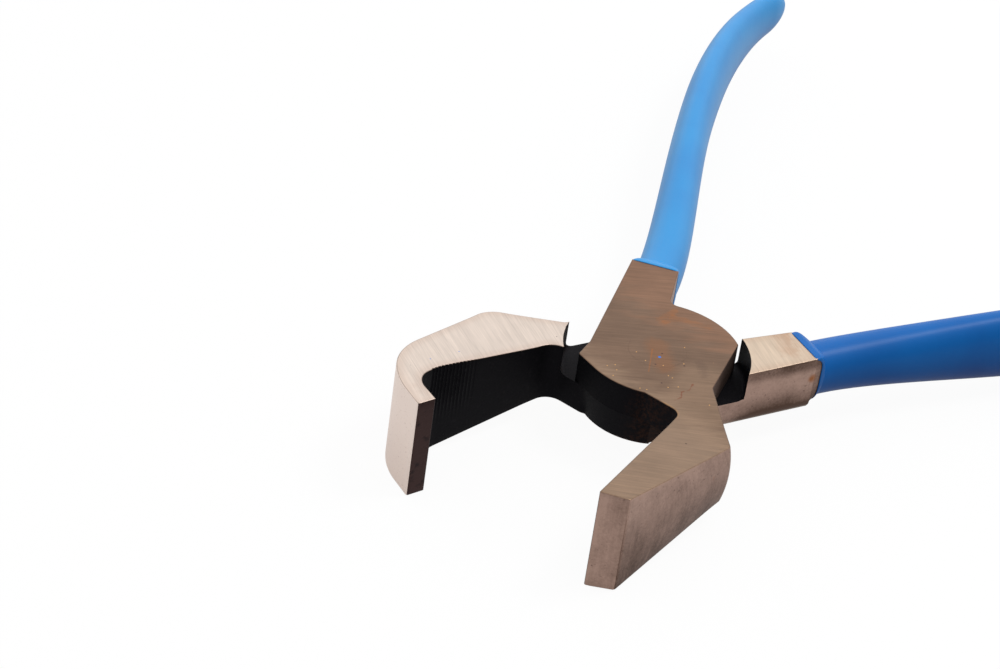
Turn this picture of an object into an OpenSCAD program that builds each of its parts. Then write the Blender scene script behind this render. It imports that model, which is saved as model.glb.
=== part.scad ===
// Lap-joint pincers: two forged levers crossing on one rivet, one jaw straight and one
// jaw hooked, with dip-coated handles. X runs out to the straight jaw, the jaws point to -Y
// and the handles to +Y. The rivet stands on Z, with Z = 0 on the lower cheek of the joint.
// Each lever is drawn as the upper one, its lap face at Z = 0, and the hooked one is turned over.

/* [Joint] */
// Thickness over the two ground cheeks
joint_t = 13; // [11:0.5:16]
// Radius of the round back of each lap
lobe_r = 17.8; // [16.5:0.1:19]
// Gap between a lap's round back and the other lever's step wall
step_gap = 1.6; // [1:0.1:2]
// Fillet at the foot of the step wall
step_foot_r = 1.2; // [0.4:0.1:1.2]
// Radius of the throat between the jaws
throat_r = 15.7; // [14.8:0.1:16.2]
// How much closer to the rivet the lower lap's throat comes at its cheek
throat_draw = 0.9; // [0.5:0.1:1.5]
// How far the throat's floor lies behind the foremost point of that circle
throat_rise = 1.8; // [1.2:0.1:2.4]
// How far the corner beside the throat stands out of that circle
throat_corner_past = 1.03; // [0.7:0.01:1.4]
// Gap between the two lap faces
lap_gap = 0.06; // [0.02:0.02:0.2]

/* [Rivet] */
// Shank diameter of the rivet
rivet_d = 9; // [7:0.5:11]
// Diameter of its flush countersunk heads
rivet_head_d = 12; // [11.5:0.5:14]
// Depth of each countersink
rivet_head_t = 1.6; // [1:0.1:2.2]
// Running clearance round the rivet in the straight-jaw lever
rivet_fit = 0.05; // [0.02:0.01:0.08]

/* [Jaws] */
// Distance from the rivet to the tip's end face
jaw_reach = 57.8; // [54:0.2:64]
// Rise of each jaw face per millimetre of jaw, from joint to tip
jaw_flare = 0.135; // [0.08:0.005:0.16]
// Where the flare starts, in front of the rivet
flare_start = 16; // [14:0.5:20]
// Half the length over which the cheek eases into the flare
flare_blend = 6; // [2:0.5:8]
// Where the flare ends and the jaw's faces run level to the tip
flare_end = 51.5; // [46:0.5:56]

/* [Straight jaw] */
// Outer face, out from the rivet
anvil_out = 30.1; // [28:0.1:33]
// Foot of the inner face, out from the rivet
anvil_in = 16.3; // [15.6:0.1:17.5]
// Lean of the inner face
anvil_lean = 12.4; // [10:0.2:14]
// Distance of the heel in front of the rivet
anvil_heel_front = 15.7; // [14:0.1:18]
// Lean of the shoulder behind the jaw
anvil_shoulder = 43.6; // [38:0.2:48]
// Distance from the rivet to the flat on the side of the lap
anvil_flat = 14.2; // [13.4:0.1:15.4]
// Direction that flat faces, above the X axis
anvil_flat_angle = 18.8; // [16:0.2:26]
// Fillet between the inner face and the throat
anvil_notch_r = 2.6; // [1:0.1:4]

/* [Hooked jaw] */
// Outer face, out from the rivet
hook_out = 32.4; // [30:0.1:35]
// Foot of the inner face, out from the rivet
hook_in = 15.6; // [15:0.1:17]
// Lean of the inner face
hook_lean = 15.3; // [13:0.2:17]
// Furthest that the pocket reaches out from the rivet
hook_pocket = 23.4; // [22:0.1:25]
// Distance of the heel in front of the rivet
hook_heel_front = 15.9; // [14:0.1:18]
// Lean of the shoulder behind the jaw
hook_shoulder = 34.5; // [30:0.5:40]
// Distance from the rivet to the flat on the side of the lap
hook_flat = 14.8; // [13.4:0.1:15.4]
// Direction that flat faces, above the X axis
hook_flat_angle = 23; // [16:0.2:26]
// Fillet between the inner face and the throat
hook_notch_r = 4; // [2:0.1:5]
// Radius of the bend between the inner face and the pocket
hook_bend_r = 14; // [8:1:20]
// Rounding of the hook's outer corner
hook_corner_r = 18; // [12:1:20]
// Rounding of the pocket under the hook
hook_pocket_r = 7.8; // [4:0.1:7.8]
// Thickness of the hook at its tip
hook_t = 4.2; // [3:0.1:5]
// How far the tip stands out from the rivet
hook_tip_out = 15.3; // [14:0.1:17]
// How far the land on the hook's tip lies inside the reach
hook_setback = 2.8; // [1:0.1:4]
// Lean of that land
hook_land_lean = 16; // [8:1:30]
// Lean of the end face behind the tip
hook_end_lean = 22.7; // [18:0.1:28]

/* [Teeth] */
// Number of teeth on the hooked jaw's inner face
tooth_count = 14; // [6:1:16]
// Pitch of the teeth
tooth_pitch = 0.9; // [0.7:0.05:1]
// Depth of each groove
tooth_depth = 0.35; // [0.2:0.05:0.5]
// First groove, in front of the rivet
tooth_start = 33.4; // [32:0.1:35]

/* [Tang] */
// Distance of the tang's outer edge from the rivet
tang_out = 13.5; // [12:0.1:14]
// Lean of the outer edge
tang_lean = 22.6; // [18:0.2:26]
// Lean of the inner edge, a line through the rivet
tang_inner_lean = 28.5; // [27:0.2:31]
// Length of bare steel behind the rivet
tang_end = 30.75; // [29:0.25:36]
// Rounding of the inner root
tang_root_r = 2; // [1:0.1:3]
// Rounding along the lower lever's outer edge
tang_edge_r = 2.4; // [1:0.2:3]

/* [Handles] */
// How far the handle tip stands out to the side
handle_out = 75.9; // [68:0.1:88]
// Distance of the handle tip behind the rivet
handle_back = 154.4; // [140:0.2:180]
// Direction in which the handle leaves the tang
handle_start_lean = 18; // [12:0.2:24]
// Direction of the handle at its tip
handle_tip_lean = -3; // [-8:0.5:10]
// Half width of the grip behind the tang
grip_neck_w = 5; // [4.4:0.05:5.2]
// Half height of the grip behind the tang
grip_neck_h = 5.65; // [5:0.05:6.4]
// Half width at the belly
grip_belly_w = 4.1; // [3.8:0.1:5]
// Half height at the belly
grip_belly_h = 9; // [7.5:0.1:10]
// Half width near the tip
grip_tip_w = 2.9; // [2.6:0.1:4]
// Half height near the tip
grip_tip_h = 3.8; // [3.4:0.1:6]
// Extra half height of the bead at the very tip
grip_bead = 0.75; // [0:0.05:1.2]
// Thickness of the dip coating
coat = 1.1; // [0.8:0.1:1.5]
// Thickness of the coating's lip on the tang
coat_lip = 0.25; // [0.15:0.05:0.4]

/* [Hidden] */
$fn = 64;

half = joint_t / 2;
step_r = lobe_r + step_gap;
over = 1;                                   // how far cutters pass a face
throat_draft_r = throat_r - throat_draw;
throat_floor = throat_r - throat_rise;
throat_bite = 6;                            // angle between the throat's round and the line into it
throat_corner_turn = -127.15;               // direction of that corner from the rivet
throat_corner_r = 0.8;
edge_bite = 10;                             // angle at which the tang's rounding meets its faces
edge_front = 12;                            // where that rounding starts, in front of the rivet
side_front = 3;                             // where the tang's edge turns in to the throat's corner
anvil_tip_r = [0.4, 0.9];                   // rounding of the tip face's inner and outer corner
anvil_heel_r = 1.5;
hook_tip_r = [0.3, 0.5];                    // rounding of the two corners of the land
hook_heel_r = 6;
shoulder_r = 2;                             // where a shoulder meets the flat
tip_half = half + jaw_flare * (flare_end - flare_start);
tall = 4 * tip_half;                        // for cutters and outlines that pass both faces
wide = 4 * hook_out;
shoulder_t = 0.05;                          // where the shoulder has become the round grip
belly_t = 0.585;                            // where the grip is highest
handle_start_pull = 25.7;
handle_tip_pull = 43.7;
cap_t = 0.06;                               // length of the rounded end
tip_coat_t = 0.014;                         // coating past the end of the rein
bond_gap = 0.04;                            // between the rein and its coating
oval = 2.2;                                 // section exponent along the grip
lip_square = 7;                             // and of the coating's lip on the tang
rein_square = 3;                            // and of the rein where it leaves the tang
rein_root_t = 0.012;                        // how far the rein starts inside the tang
sides = 20;
body_rings = 20;
steel = [0.62, 0.55, 0.49];
bright_steel = [0.80, 0.75, 0.70];
grip_blue = [0.20, 0.52, 0.82];

// ---- plan outlines: corners are [x, y, radius], counterclockwise ----

function dir(a) = [cos(a), sin(a)];
function corner(c) = [c[0], c[1]];
function unit(v) = v / norm(v);
function cross2(a, b) = a[0] * b[1] - a[1] * b[0];
// Where the line through p along u meets the line through q along v
function meet(p, u, q, v) = p + u * cross2(q - p, v) / cross2(u, v);
// Where the line through p along u leaves the circle of radius r about the rivet
function on_circle(p, u, r) = p + u * (sqrt(pow(p * u, 2) - p * p + r * r) - p * u);

// A closed outline whose corners are turned into true arcs
module rounded_outline(corners) {
    n = len(corners);
    function to_prev(i) = unit(corner(corners[(i + n - 1) % n]) - corner(corners[i]));
    function to_next(i) = unit(corner(corners[(i + 1) % n]) - corner(corners[i]));
    function bulges(i) = cross2(to_prev(i), to_next(i)) < 0;
    module patch(i) {
        v = corner(corners[i]);
        r = corners[i][2];
        half_angle = acos(to_prev(i) * to_next(i)) / 2;
        run = r / tan(half_angle);
        middle = unit(to_prev(i) + to_next(i));
        difference() {
            polygon([v - middle * over, v + to_prev(i) * run, v + to_next(i) * run]);
            translate(v + middle * r / sin(half_angle)) circle(r);
        }
    }
    difference() {
        union() {
            polygon([for (c = corners) corner(c)]);
            for (i = [0 : n - 1]) if (corners[i][2] > 0 && !bulges(i)) patch(i);
        }
        for (i = [0 : n - 1]) if (corners[i][2] > 0 && bulges(i)) patch(i);
    }
}

// The flat on the side of a lap, given as [distance, angle]: its foot, direction and back end
function flat_foot(flat) = dir(flat[1]) * flat[0];
function flat_top(flat) = flat_foot(flat) + dir(flat[1] + 90) * sqrt(lobe_r * lobe_r - flat[0] * flat[0]);
// Where a shoulder that leans back from the heel meets that flat
function jaw_root(heel, lean, flat) = meet(heel, dir(180 - lean), flat_foot(flat), dir(flat[1] + 90));

tang_u = dir(90 + tang_lean);
tang_n = dir(180 + tang_lean);
tang_inner_u = dir(90 + tang_inner_lean);
tang_outer_end = tang_n * tang_out + tang_u * tang_end;
tang_inner_end = meet([0, 0], tang_inner_u, tang_u * tang_end, tang_n);
tang_root = tang_inner_u * lobe_r * 0.995;
throat_side = tang_n * tang_out - tang_u * side_front;
throat_corner = dir(throat_corner_turn) * (throat_r + throat_corner_past);
// The line from that corner runs into the throat's circle at throat_bite; it passes the rivet at
// throat_pass, in direction throat_turn, and meets the circle in direction throat_touch
throat_pass = throat_r * cos(throat_bite);
throat_turn = throat_corner_turn + acos(throat_pass / norm(throat_corner));
throat_touch = throat_turn - throat_bite;

// Everything but the jaw, from the flat round the back and down the tang to the throat
function joint_corners(flat) = [
    [flat_top(flat)[0], flat_top(flat)[1], 0],
    [tang_root[0], tang_root[1], tang_root_r],
    [tang_inner_end[0], tang_inner_end[1], 0],
    [tang_outer_end[0], tang_outer_end[1], 0],
    [throat_side[0], throat_side[1], 0],
    [throat_corner[0], throat_corner[1], throat_corner_r],
    [throat_pass * cos(throat_turn), throat_pass * sin(throat_turn), 0],
    [sqrt(throat_r * throat_r - throat_floor * throat_floor), -throat_floor, 0]
];

// Jaw corners, from the notch round the tip to the flat on the cheek
anvil_line = dir(-90 + anvil_lean);
anvil_notch = [anvil_in, -throat_floor];
anvil_tip_in = on_circle(anvil_notch, anvil_line, jaw_reach);
anvil_tip_out = [anvil_out, -sqrt(jaw_reach * jaw_reach - anvil_out * anvil_out)];
anvil_heel = [anvil_out, -anvil_heel_front];
anvil_root = jaw_root(anvil_heel, anvil_shoulder, [anvil_flat, anvil_flat_angle]);
anvil_corners = [
    [anvil_notch[0], anvil_notch[1], anvil_notch_r],
    [anvil_tip_in[0], anvil_tip_in[1], anvil_tip_r[0]],
    [anvil_tip_out[0], anvil_tip_out[1], anvil_tip_r[1]],
    [anvil_heel[0], anvil_heel[1], anvil_heel_r],
    [anvil_root[0], anvil_root[1], shoulder_r]
];

hook_line = dir(-90 + hook_lean);
hook_notch = [hook_in, -throat_floor];
hook_bend = meet(hook_notch, hook_line, [hook_pocket, 0], [0, 1]);
hook_r = jaw_reach - hook_setback;
hook_pocket_corner = [hook_pocket, -sqrt(hook_r * hook_r - hook_pocket * hook_pocket)];
hook_tip_in = [hook_tip_out, -sqrt(hook_r * hook_r - hook_tip_out * hook_tip_out)];
hook_tip_out_corner = hook_tip_in + dir(-90 + hook_land_lean) * hook_t;
hook_corner = meet(hook_tip_out_corner, dir(hook_end_lean), [hook_out, 0], [0, 1]);
hook_heel = [hook_out, -hook_heel_front];
hook_root = jaw_root(hook_heel, hook_shoulder, [hook_flat, hook_flat_angle]);
hook_corners = [
    [hook_notch[0], hook_notch[1], hook_notch_r],
    [hook_bend[0], hook_bend[1], hook_bend_r],
    [hook_pocket_corner[0], hook_pocket_corner[1], hook_pocket_r],
    [hook_tip_in[0], hook_tip_in[1], hook_tip_r[0]],
    [hook_tip_out_corner[0], hook_tip_out_corner[1], hook_tip_r[1]],
    [hook_corner[0], hook_corner[1], hook_corner_r],
    [hook_heel[0], hook_heel[1], hook_heel_r],
    [hook_root[0], hook_root[1], shoulder_r]
];

module lever_plan(jaw_corners, flat) {
    rounded_outline(concat(jaw_corners, joint_corners(flat)));
    intersection() {
        circle(lobe_r);
        translate([tang_root[0], 0]) square([lobe_r * 2, lobe_r + over]);
        rotate(flat[1]) translate([flat[0] - wide, -wide]) square([wide, 2 * wide]);
    }
    intersection() {
        circle(throat_r);
        translate([throat_r * cos(throat_touch - throat_bite), -throat_r - over])
            square([throat_r * 1.2, throat_r / 2]);
    }
}

// ---- levers ----

// Height of a lever's face over its middle, in front of the rivet: flat, then a parabola that
// eases into the flare over flare_blend either side of flare_start
function face_h(s) = let(u = min(s, flare_end) - flare_start)
    u <= -flare_blend ? half
    : u >= flare_blend ? half + jaw_flare * u
    : half + jaw_flare * pow(u + flare_blend, 2) / (4 * flare_blend);

// Side view of a lever: flat cheeks that flare towards the jaw's tip
module flared_slab() {
    far = jaw_reach * 1.2;
    rise = [for (i = [0 : 6]) flare_start + flare_blend * (i / 3 - 1)];
    top = concat([[tang_end * 2, half]], [for (s = concat(rise, [flare_end, far])) [-s, face_h(s)]]);
    n = len(top);
    rotate([90, 0, 90]) linear_extrude(height = wide, center = true)
        polygon(concat(top, [for (i = [n - 1 : -1 : 0]) [top[i][0], -top[i][1]]]));
}

// Rounding along the tang's outer edge at its outer cheek, from the throat to the dip coating
module tang_edge() {
    rotate(tang_lean) translate([-tang_out, -edge_front, half]) rotate([-90, 0, 0])
        linear_extrude(height = tang_end + edge_front) difference() {
            translate([-over, -over]) square(tang_edge_r + over);
            translate([tang_edge_r, tang_edge_r]) circle(tang_edge_r / cos(edge_bite));
        }
}

// Space for the other lever: everything under the lap face, out to the step wall
module lap_cutter() {
    depth = tip_half + 4 * over;
    foot = lap_gap / 2;
    rotate_extrude($fn = 128) difference() {
        translate([0, -depth]) square([step_r, depth + foot]);
        translate([step_r - step_foot_r, foot - step_foot_r]) difference() {
            square(step_foot_r + over);
            circle(step_foot_r);
        }
    }
}

// Bore and countersink for the rivet, with clearance round both
module rivet_bore(fit) {
    rivet_shape(fit);
    translate([0, 0, -half]) cylinder(d = rivet_d + 2 * fit, h = joint_t);
}

module rivet_shape(fit) {
    cylinder(d = rivet_d + 2 * fit, h = joint_t, center = true);
    for (side = [0, 1]) mirror([0, 0, side]) translate([0, 0, half - rivet_head_t])
        cylinder(d1 = rivet_d + 2 * fit, d2 = rivet_head_d + 2 * fit, h = rivet_head_t);
}

// Draft of the lower lap's throat: a cone outside it, cut where the throat is round
module throat_draft() {
    intersection() {
        rotate_extrude($fn = 128)
            polygon([[throat_r, -over], [throat_r, 0], [throat_draft_r, half],
                [throat_draft_r, half + over], [step_r + over, half + over], [step_r + over, -over]]);
        translate([-edge_front, -step_r - 2 * over, -2 * over])
            cube([edge_front + sqrt(pow(throat_draft_r, 2) - pow(throat_floor, 2)),
                step_r - throat_r / 2, half + 4 * over]);
    }
}

// One forging, drawn as the upper lever
module lever(jaw_corners, flat, bore_fit) {
    difference() {
        union() {
            intersection() {
                linear_extrude(height = tall, center = true) lever_plan(jaw_corners, flat);
                flared_slab();
            }
            rein();
        }
        lap_cutter();
        rivet_bore(bore_fit);
    }
}

// ---- teeth of the hooked jaw: shallow round grooves across its inner face ----

tooth_w = tooth_pitch * 0.88;
bend_run = norm(hook_bend - hook_notch) - hook_bend_r * tan(hook_lean / 2);
bend_length = hook_bend_r * hook_lean * PI / 180;
bend_centre = hook_notch + hook_line * bend_run + dir(180 + hook_lean) * hook_bend_r;
function tooth_run(i) = (tooth_start - throat_floor) / cos(hook_lean) + i * tooth_pitch;
function groove_depth(i) = tooth_depth * min(1, (i + 2) / 6);
function groove_r(i) = (pow(tooth_w / 2, 2) + pow(groove_depth(i), 2)) / (2 * groove_depth(i));
// The inner face followed from the notch: straight, round the bend, then straight out
function face_out(run) = dir(180 + hook_lean * (1 - max(0, min(1, (run - bend_run) / bend_length))));
function on_face(run) = run < bend_run ? hook_notch + hook_line * run
    : bend_centre - face_out(run) * hook_bend_r - [0, max(0, run - bend_run - bend_length)];

module teeth() {
    for (i = [0 : tooth_count - 1]) {
        r = groove_r(i);
        at = on_face(tooth_run(i)) + face_out(tooth_run(i)) * (r - groove_depth(i));
        translate([at[0], at[1], 0]) cylinder(r = r, h = tall, center = true, $fn = 24);
    }
}

// ---- handles: sections swept along one cubic curve from the tang to the tip ----

function mix(a, b, u) = a + (b - a) * u;
function ease(u) = let(v = max(0, min(1, u))) v * v * (3 - 2 * v);

handle_0 = (tang_outer_end + tang_inner_end) / 2;
handle_1 = handle_0 + dir(90 + handle_start_lean) * handle_start_pull;
handle_3 = [-handle_out, handle_back];
handle_2 = handle_3 - dir(90 + handle_tip_lean) * handle_tip_pull;
function path(t) = pow(1 - t, 3) * handle_0 + 3 * t * pow(1 - t, 2) * handle_1
    + 3 * t * t * (1 - t) * handle_2 + t * t * t * handle_3;
function path_rate(t) = 3 * pow(1 - t, 2) * (handle_1 - handle_0)
    + 6 * t * (1 - t) * (handle_2 - handle_1) + 3 * t * t * (handle_3 - handle_2);
// Across the handle: square to the tang at its start, then square to the path
function across(t) = let(u = unit(path_rate(t))) unit(mix(tang_n, [-u[1], u[0]], ease(t / shoulder_t)));

tang_half_w = norm(tang_outer_end - tang_inner_end) / 2;
function half_w(t) = t < shoulder_t ? mix(tang_half_w + coat_lip, grip_neck_w, ease(t / shoulder_t))
    : t < belly_t ? mix(grip_neck_w, grip_belly_w, ease((t - shoulder_t) / (belly_t - shoulder_t)))
    : mix(grip_belly_w, grip_tip_w, ease((t - belly_t) / (1 - belly_t)));
function bead(t) = grip_bead * ease((t - 0.86) / 0.12);
function half_h(t) = bead(t) + (t < shoulder_t ? mix(half + coat_lip, grip_neck_h, ease(t / shoulder_t))
    : t < belly_t ? mix(grip_neck_h, grip_belly_h, pow(sin(90 * (t - shoulder_t) / (belly_t - shoulder_t)), 2))
    : mix(grip_tip_h, grip_belly_h, cos(90 * (t - belly_t) / (1 - belly_t))));
// Exponent of the section: near a rectangle at the tang, an oval along the grip
function squareness(t, start) = mix(start, oval, ease(t / shoulder_t));
function coat_at(t) = mix(coat_lip, coat, ease(t / shoulder_t));

// Stations along the handle, each [t, scale]; the last few round off the end at t_end
function stations(t_end) = concat(
    [for (i = [0 : 5]) [shoulder_t * i / 5, 1]],
    [for (i = [1 : body_rings]) [mix(shoulder_t, t_end - cap_t, i / body_rings), 1]],
    [for (i = [1 : 5]) [t_end - cap_t + cap_t * sin(i * 15), cos(i * 15)]]);

function signed_pow(v, e) = sign(v) * pow(abs(v), e);
// One section: a superellipse, drawn in by inset millimetres
function ring(station, inset, start) = let(
    t = station[0], e = 2 / squareness(t, start), n = across(t), p = path(t),
    a = (half_w(t) - inset) * station[1], b = (half_h(t) - inset) * station[1])
    [for (k = [0 : sides - 1]) let(
        w = a * signed_pow(cos(360 * k / sides), e), z = b * signed_pow(sin(360 * k / sides), e))
        [p[0] + n[0] * w, p[1] + n[1] * w, z]];
function point3(p) = [p[0], p[1], 0];
function flat_list(rows) = [for (row = rows) for (p = row) p];

// Triangles of a skin through count rings that start at point first, closed by an apex point
function skin(first, count, apex, out) = [for (j = [0 : count - 1], k = [0 : sides - 1])
    let(a = first + j * sides + k, b = first + j * sides + (k + 1) % sides)
    each j == count - 1 ? [out ? [b, a, apex] : [a, b, apex]]
        : out ? [[b, a, b + sides], [b + sides, a, a + sides]]
        : [[a, b, b + sides], [a, b + sides, a + sides]]];

// Forged rein under the coating
module rein() {
    t_end = 1 - tip_coat_t;
    rows = [for (s = concat([[-rein_root_t, 1]], stations(t_end)))
        if (s[0] != 0) ring(s, coat_at(s[0]) + bond_gap, rein_square)];
    count = len(rows);
    apex = count * sides;
    polyhedron(concat(flat_list(rows), [point3(path(t_end))]),
        concat([[for (k = [0 : sides - 1]) k]], skin(0, count, apex, true)));
}

// Dip coating: an outer skin and a bore that clears the rein by bond_gap, open at the tang
module coating() {
    outer = [for (s = stations(1)) ring(s, 0, lip_square)];
    t_end = 1 - tip_coat_t + bond_gap / 100;
    inner = [for (s = stations(t_end)) ring(s, coat_at(s[0]), rein_square)];
    count = len(outer);
    base = count * sides + 1;
    polyhedron(
        concat(flat_list(outer), [point3(path(1))], flat_list(inner), [point3(path(t_end))]),
        concat(skin(0, count, base - 1, true), skin(base, count, base + count * sides, false),
            [for (k = [0 : sides - 1]) let(n = (k + 1) % sides)
                each [[k, n, base + k], [base + k, n, base + n]]]));
}

// ---- pieces, in the frame of the whole tool ----

module upper() {
    translate([0, 0, half]) children();
}

module lower() {
    translate([0, 0, half]) rotate([0, 180, 0]) children();
}

module anvil_lever() {
    color(steel) upper() lever(anvil_corners, [anvil_flat, anvil_flat_angle], rivet_fit);
}

module hook_lever() {
    color(bright_steel) lower() difference() {
        lever(hook_corners, [hook_flat, hook_flat_angle], 0);
        teeth();
        throat_draft();
        tang_edge();
    }
}

module pivot_rivet() {
    color(steel) upper() rivet_shape(0);
}

module anvil_lever_grip() {
    color(grip_blue) upper() coating();
}

module hook_lever_grip() {
    color(grip_blue) lower() coating();
}

anvil_lever();
hook_lever();
pivot_rivet();
anvil_lever_grip();
hook_lever_grip();
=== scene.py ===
"""Looks of a pair of lap-joint pincers: two forged levers, the rivet that they turn on and the two
dipped grips, each worked out as a surface, in metres.

A lever is drawn as the upper one, with its lap face at z = 0, its jaw towards -Y and its handle
towards +Y. It is then lifted into place, or turned over for the hooked one."""

from collections import namedtuple
from math import acos, atan2, cos, pi, radians, sin, sqrt, tan

import bpy
import numpy as np
from bpy.props import FloatProperty, FloatVectorProperty, IntProperty, PointerProperty
from mathutils import Matrix, Vector
from mathutils.geometry import delaunay_2d_cdt


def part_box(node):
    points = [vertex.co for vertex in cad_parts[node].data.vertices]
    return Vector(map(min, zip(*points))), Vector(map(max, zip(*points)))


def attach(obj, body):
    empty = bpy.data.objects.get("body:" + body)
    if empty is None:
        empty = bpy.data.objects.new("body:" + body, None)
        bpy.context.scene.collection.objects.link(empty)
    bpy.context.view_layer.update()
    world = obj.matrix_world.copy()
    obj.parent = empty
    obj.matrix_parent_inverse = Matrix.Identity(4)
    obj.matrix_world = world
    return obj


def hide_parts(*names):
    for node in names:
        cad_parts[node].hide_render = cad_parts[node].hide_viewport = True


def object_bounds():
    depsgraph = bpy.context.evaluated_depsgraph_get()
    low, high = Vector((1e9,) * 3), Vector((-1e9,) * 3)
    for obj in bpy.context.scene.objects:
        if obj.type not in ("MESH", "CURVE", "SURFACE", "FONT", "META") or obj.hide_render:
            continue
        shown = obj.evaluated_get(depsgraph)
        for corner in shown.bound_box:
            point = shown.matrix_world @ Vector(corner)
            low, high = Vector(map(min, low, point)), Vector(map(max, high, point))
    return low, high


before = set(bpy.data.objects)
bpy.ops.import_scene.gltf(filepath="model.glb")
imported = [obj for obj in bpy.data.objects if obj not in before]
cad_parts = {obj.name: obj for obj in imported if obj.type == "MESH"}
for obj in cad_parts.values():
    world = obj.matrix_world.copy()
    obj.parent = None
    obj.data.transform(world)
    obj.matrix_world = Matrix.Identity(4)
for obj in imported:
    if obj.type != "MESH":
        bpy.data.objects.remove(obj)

bl_info = {
    "name": "Lap-joint pincers",
    "version": (1, 0, 0),
    "blender": (4, 5, 0),
    "location": "View3D > Sidebar > Pincers",
    "description": "Builds the levers, rivet and dipped grips of a pair of pincers",
    "category": "Object",
}

MM = 0.001
CAD_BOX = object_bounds()
RIVET_LOW, RIVET_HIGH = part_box("pivot_rivet")
ANVIL_GRIND, HOOK_GRIND = radians(41), radians(-30)  # direction of the grinding lines on each lever
EDGE_BREAK = 0.22 * MM  # rounding of a cheek's edge
EDGE_FADE = 1.5 * MM  # over what the tang's larger rounding fades out past its outer edge
WALL_STEP, TOOTH_STEP, CHEEK_STEP = 0.9 * MM, 0.07 * MM, 1.1 * MM  # gaps between neighbouring points
BORE_SIDES, RIVET_SIDES, LAP_SIDES, FLOOR_SIDES = 160, 128, 256, 64  # points round a turned shape
CREASE = radians(32)  # turn between two faces that still looks smooth
# How black the forge left the wall on each run of a lever's outline.
BLACKNESS = {"throat": 1, "floor": 1, "inner": 1, "pocket": 1, "lobe": 0.9, "spur": 1, "flat": 0.6}


# ---- sizes and colours that a user would change ----


def length(name, description, size):
    """A length property whose default is size, in metres."""
    return FloatProperty(name=name, description=description, default=size, unit="LENGTH", precision=5)


def lean(name, description, angle):
    """An angle property whose default is given in degrees."""
    return FloatProperty(name=name, description=description, default=radians(angle), subtype="ANGLE")


def colour(name, description, red, green, blue):
    """A colour property whose default is given in the 0 to 255 steps of a paint chart."""
    shade = np.array([red, green, blue]) / 255
    linear = np.where(shade <= 0.04045, shade / 12.92, ((shade + 0.055) / 1.055) ** 2.4)
    return FloatVectorProperty(
        name=name, description=description, default=tuple(linear), subtype="COLOR", min=0, max=1
    )


class JointSizes(bpy.types.PropertyGroup):
    """The lap joint and its rivet."""

    thickness: length("Thickness", "Over the two ground cheeks", RIVET_HIGH.z - RIVET_LOW.z)
    lobe: length("Lap radius", "Round back of each lap", 17.8 * MM)
    step_gap: length("Step gap", "Between a lap's round back and the other lever's step", 1.6 * MM)
    step_foot: length("Step fillet", "At the foot of the step wall", 1.2 * MM)
    throat: length("Throat radius", "Round of the throat between the jaws", 15.7 * MM)
    throat_drawn: length("Drawn throat", "What the lower lap's throat draws in to", 14.8 * MM)
    throat_floor: length("Throat floor", "In front of the rivet", 13.9 * MM)
    lap_gap: length("Lap gap", "Between the two lap faces", 0.06 * MM)
    rivet: length("Rivet", "Shank diameter", 9 * MM)
    rivet_head: length("Rivet head", "Diameter of the flush heads", RIVET_HIGH.x - RIVET_LOW.x)
    countersink: length("Countersink", "Depth of each rivet head", 1.6 * MM)
    seam: length("Seam", "Hairline round a rivet head", 0.02 * MM)


class JawSizes(bpy.types.PropertyGroup):
    """What the two jaws share."""

    reach: length("Reach", "From the rivet to the tip's end face", 57.795 * MM)
    flare: FloatProperty(name="Flare", description="Rise of a jaw face along the jaw", default=0.135)
    flare_start: length("Flare start", "In front of the rivet", 16 * MM)
    flare_blend: length("Flare blend", "Half the length of the easing into the flare", 6 * MM)
    flare_end: length("Flare end", "Where the faces run level to the tip", 51.49 * MM)


class StraightJawSizes(bpy.types.PropertyGroup):
    """The straight jaw, which is the anvil of the cut."""

    outside: length("Outer face", "Out from the rivet", 30.1 * MM)
    inside: length("Inner foot", "Foot of the inner face", 16.3 * MM)
    lean: lean("Inner lean", "Lean of the inner face", 12.4)
    inner_run: length("Inner run", "Length of the inner face", 39.2 * MM)
    shoulder: lean("Shoulder", "Lean of the shoulder behind the jaw", 43.6)
    heel: length("Heel", "Corner between outer face and shoulder", 15.7 * MM)
    flat: length("Lap flat", "Flat on the side of the lap, from the rivet", 14.2 * MM)
    flat_turn: lean("Flat direction", "Direction that the flat faces", 18.8)
    notch: length("Notch", "Fillet between inner face and throat", 2.6 * MM)
    crown: length("Forged crown", "Bulge of the outer face at mid height by the heel", 0.85 * MM)


class HookedJawSizes(bpy.types.PropertyGroup):
    """The hooked jaw with its teeth."""

    outside: length("Outer face", "Out from the rivet", 32.4 * MM)
    inside: length("Inner foot", "Foot of the inner face", 15.6 * MM)
    lean: lean("Inner lean", "Lean of the inner face", 14.1)
    pocket: length("Pocket", "Furthest that the pocket reaches out", 22.9 * MM)
    shoulder: lean("Shoulder", "Lean of the shoulder behind the jaw", 34.5)
    heel: length("Heel", "Corner between outer face and shoulder", 15.9 * MM)
    flat: length("Lap flat", "Flat on the side of the lap, from the rivet", 14.8 * MM)
    flat_turn: lean("Flat direction", "Direction that the flat faces", 23)
    notch: length("Notch", "Fillet between inner face and throat", 4 * MM)
    bend: length("Bend", "Round between inner face and pocket", 14 * MM)
    corner: length("Outer corner", "Round of the hook's outer corner", 18 * MM)
    pocket_round: length("Pocket round", "Round under the hook", 6 * MM)
    setback: length("Tip setback", "What the land lies behind the reach", 2.8 * MM)
    thickness: length("Hook", "Thickness at the hook's tip", 4.2 * MM)
    tip: length("Tip", "How far the tip stands out from the rivet", 15.3 * MM)
    land: lean("Land", "Lean of the land on the tip", 16)
    end_lean: lean("End lean", "Lean of the end face behind the tip", 22.7)
    teeth: IntProperty(name="Teeth", description="Grooves across the inner face", default=13)
    pitch: length("Pitch", "From groove to groove", 0.9 * MM)
    groove: length("Groove", "Depth of a groove at the lap side", 0.24 * MM)
    teeth_start: length("First groove", "In front of the rivet", 33.9 * MM)


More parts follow.
